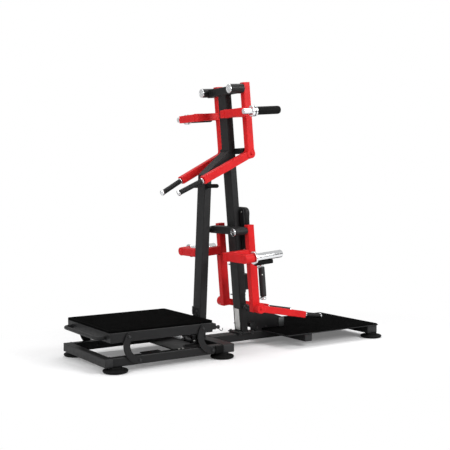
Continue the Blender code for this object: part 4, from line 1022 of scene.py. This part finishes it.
# The chest pad is a block of firm foam on a steel board, wrapped in black vinyl that is stapled behind.
# A double row of stitches runs round the front, and the foam swells a little between it and the edge.
paint_nodes(black_coat, "chest_pad_board")
vinyl, tree, shader = finish_of("pad_vinyl", (0.006, 0.0057, 0.006), 0.46, level=0.28)
place = add_node(tree, "TexCoord").outputs["Object"]
cells = add_node(tree, "TexVoronoi", {"Vector": place, "Scale": 620}, feature="DISTANCE_TO_EDGE")
creases = ramp(cells.outputs["Distance"], 0, 0.09)
skin = maths("ADD", creases, maths("MULTIPLY", noise(tree, 210, 5), 0.8))
bumped(shader, skin, 0.00016, 0.7)
glossed(shader, noise(tree, 18, 5), 0.38, 0.54)
# The creases of the grain are painted darker than the cells between them: painted shade in the creases.
shade = mixed(creases, (0.0035, 0.0033, 0.0035), (0.0068, 0.0064, 0.0068))
dusty = effect(tree, fallen_dust, Amount=0.06, Patches=10)
coloured(shader, dusty, shade, (0.2, 0.19, 0.19))
PAD_BACK, PAD_THICK, PAD_HALF, PAD_LOW, PAD_HIGH = 0.0586, 0.047, 0.1, 0.63, 0.946
PAD_MIDDLE = Vector((PAD_BACK, 0, (PAD_LOW + PAD_HIGH) / 2))
MOST_SWELL = 0.006
to_pad = lean.inverted()


def keep_evaluated(piece):
    """Give a piece the mesh that its modifiers make, and take the modifiers away."""
    bpy.context.view_layer.update()
    mesh = bpy.data.meshes.new_from_object(piece.evaluated_get(bpy.context.evaluated_depsgraph_get()))
    piece.modifiers.clear()
    piece.data = mesh


bm = bmesh.new()
bm.from_mesh(nodes["chest_pad"].data)
bmesh.ops.remove_doubles(bm, verts=bm.verts, dist=0.00005)
bmesh.ops.transform(bm, matrix=to_pad, verts=bm.verts)
for vert in bm.verts:
    away = vert.co - PAD_MIDDLE
    vert.co = PAD_MIDDLE + Vector((away.x * 0.98, away.y * 0.99, away.z * 0.99))
bmesh.ops.transform(bm, matrix=lean, verts=bm.verts)
pad = add_object("chest_pad_cover", mesh_of(bm, "chest_pad_cover"))
remesh = pad.modifiers.new("remesh", "REMESH")
remesh.mode = "VOXEL"
remesh.voxel_size = 0.0045
keep_evaluated(pad)
held = pad.vertex_groups.new(name="stapled")
held.add([v.index for v in pad.data.vertices if (to_pad @ v.co).x < PAD_BACK + 0.006], 1, "REPLACE")
before = [v.co.copy() for v in pad.data.vertices]
cloth = pad.modifiers.new("cloth", "CLOTH")
settings = cloth.settings
settings.quality = 6
settings.mass = 0.25
settings.tension_stiffness = 24
settings.compression_stiffness = 24
settings.shear_stiffness = 12
settings.bending_stiffness = 1.2
settings.use_pressure = True
settings.uniform_pressure_force = 4
settings.vertex_group_mass = "stapled"
settings.effector_weights.gravity = 0
cloth.collision_settings.use_collision = False
cloth.point_cache.frame_start = 1
cloth.point_cache.frame_end = 20
for number in range(1, 21):
    scene.frame_set(number)
keep_evaluated(pad)
scene.frame_set(1)
for vert, old in zip(pad.data.vertices, before):
    moved = vert.co - old
    if moved.length > MOST_SWELL:
        vert.co = old + moved.normalized() * MOST_SWELL

STITCH_IN, STITCH_CORNER = 0.02, 0.02
seam_half = PAD_HALF - STITCH_IN
seam_tall = (PAD_HIGH - PAD_LOW) / 2 - STITCH_IN


def off_seam(y, w):
    """How far a point of the pad's front lies from the stitched line."""
    a = abs(y) - seam_half + STITCH_CORNER
    b = abs(w - PAD_MIDDLE.z) - seam_tall + STITCH_CORNER
    return sqrt(max(a, 0) ** 2 + max(b, 0) ** 2) + min(max(a, b), 0) - STITCH_CORNER


bm = bmesh.new()
bm.from_mesh(pad.data)
bmesh.ops.transform(bm, matrix=to_pad, verts=bm.verts)
for _ in range(2):
    bmesh.ops.smooth_vert(
        bm, verts=bm.verts, factor=0.5, use_axis_x=True, use_axis_y=True, use_axis_z=True
    )
bmesh.ops.subdivide_edges(bm, edges=bm.edges[:], cuts=1, use_grid_fill=True)
for vert in bm.verts:
    if vert.co.x > PAD_BACK + PAD_THICK * 0.55:
        closeness = max(0, 1 - abs(off_seam(vert.co.y, vert.co.z)) / 0.006)
        vert.co.x -= 0.0022 * closeness**2 * (3 - 2 * closeness)
    vert.co.x = max(vert.co.x, PAD_BACK + 0.0003)
bmesh.ops.transform(bm, matrix=lean, verts=bm.verts)
bm.to_mesh(pad.data)
bm.free()
pad.data.polygons.foreach_set("use_smooth", [True] * len(pad.data.polygons))
pad.data.materials.clear()
pad.data.materials.append(vinyl)
settle(pad, "base", "chest_pad")

thread, tree, shader = finish_of("pad_thread", (0.02, 0.019, 0.02), 0.6, level=0.4)
glossed(shader, noise(tree, 900), 0.5, 0.7)
bpy.context.view_layer.update()
upright = lean.to_3x3()
stitch = Matrix.Diagonal((0.00042, 0.00042, 0.00155, 1))
bm = bmesh.new()
for inset in (-0.0028, 0.0028):
    corner = STITCH_CORNER + inset
    half, tall = seam_half + inset - corner, seam_tall + inset - corner
    line = []
    for k, (a, b) in enumerate(((1, 1), (-1, 1), (-1, -1), (1, -1))):
        for turn in [pi / 2 * (k + i / 6) for i in range(7)]:
            line.append(Vector((a * half + corner * cos(turn), b * tall + corner * sin(turn))))
    run = stepped(line, True, 0.0042)
    for here, after in zip(run, run[1:] + run[:1]):
        spot = (here + after) / 2
        start = leaning(PAD_BACK + PAD_THICK + 0.05, spot.x, PAD_MIDDLE.z + spot.y)
        found, hit, normal, _ = pad.ray_cast(start, upright @ Vector((-1, 0, 0)))
        if not found:
            continue
        along = upright @ Vector((0, after.x - here.x, after.y - here.y))
        along = (along - normal * along.dot(normal)).normalized()
        part = bmesh.new()
        bmesh.ops.create_icosphere(part, subdivisions=1, radius=1)
        join(bm, part, facing(hit + normal * 0.0001, along) @ stitch)
finish_piece(bm, "chest_pad_stitches", thread, "base", sharp=60)

screw = eased([(0, -0.4), (5.6, -0.4), (5, 1.8), (2.4, 2.6), (2, 1.2), (0, 1.2)], 0.6)
seats = [lean @ facing((0.0503, y, w), (-1, 0, 0)) for y in (-0.066, 0.066) for w in (0.662, 0.914)]
turned("pad_board_screws", screw, seats, 28, zinc, "base")
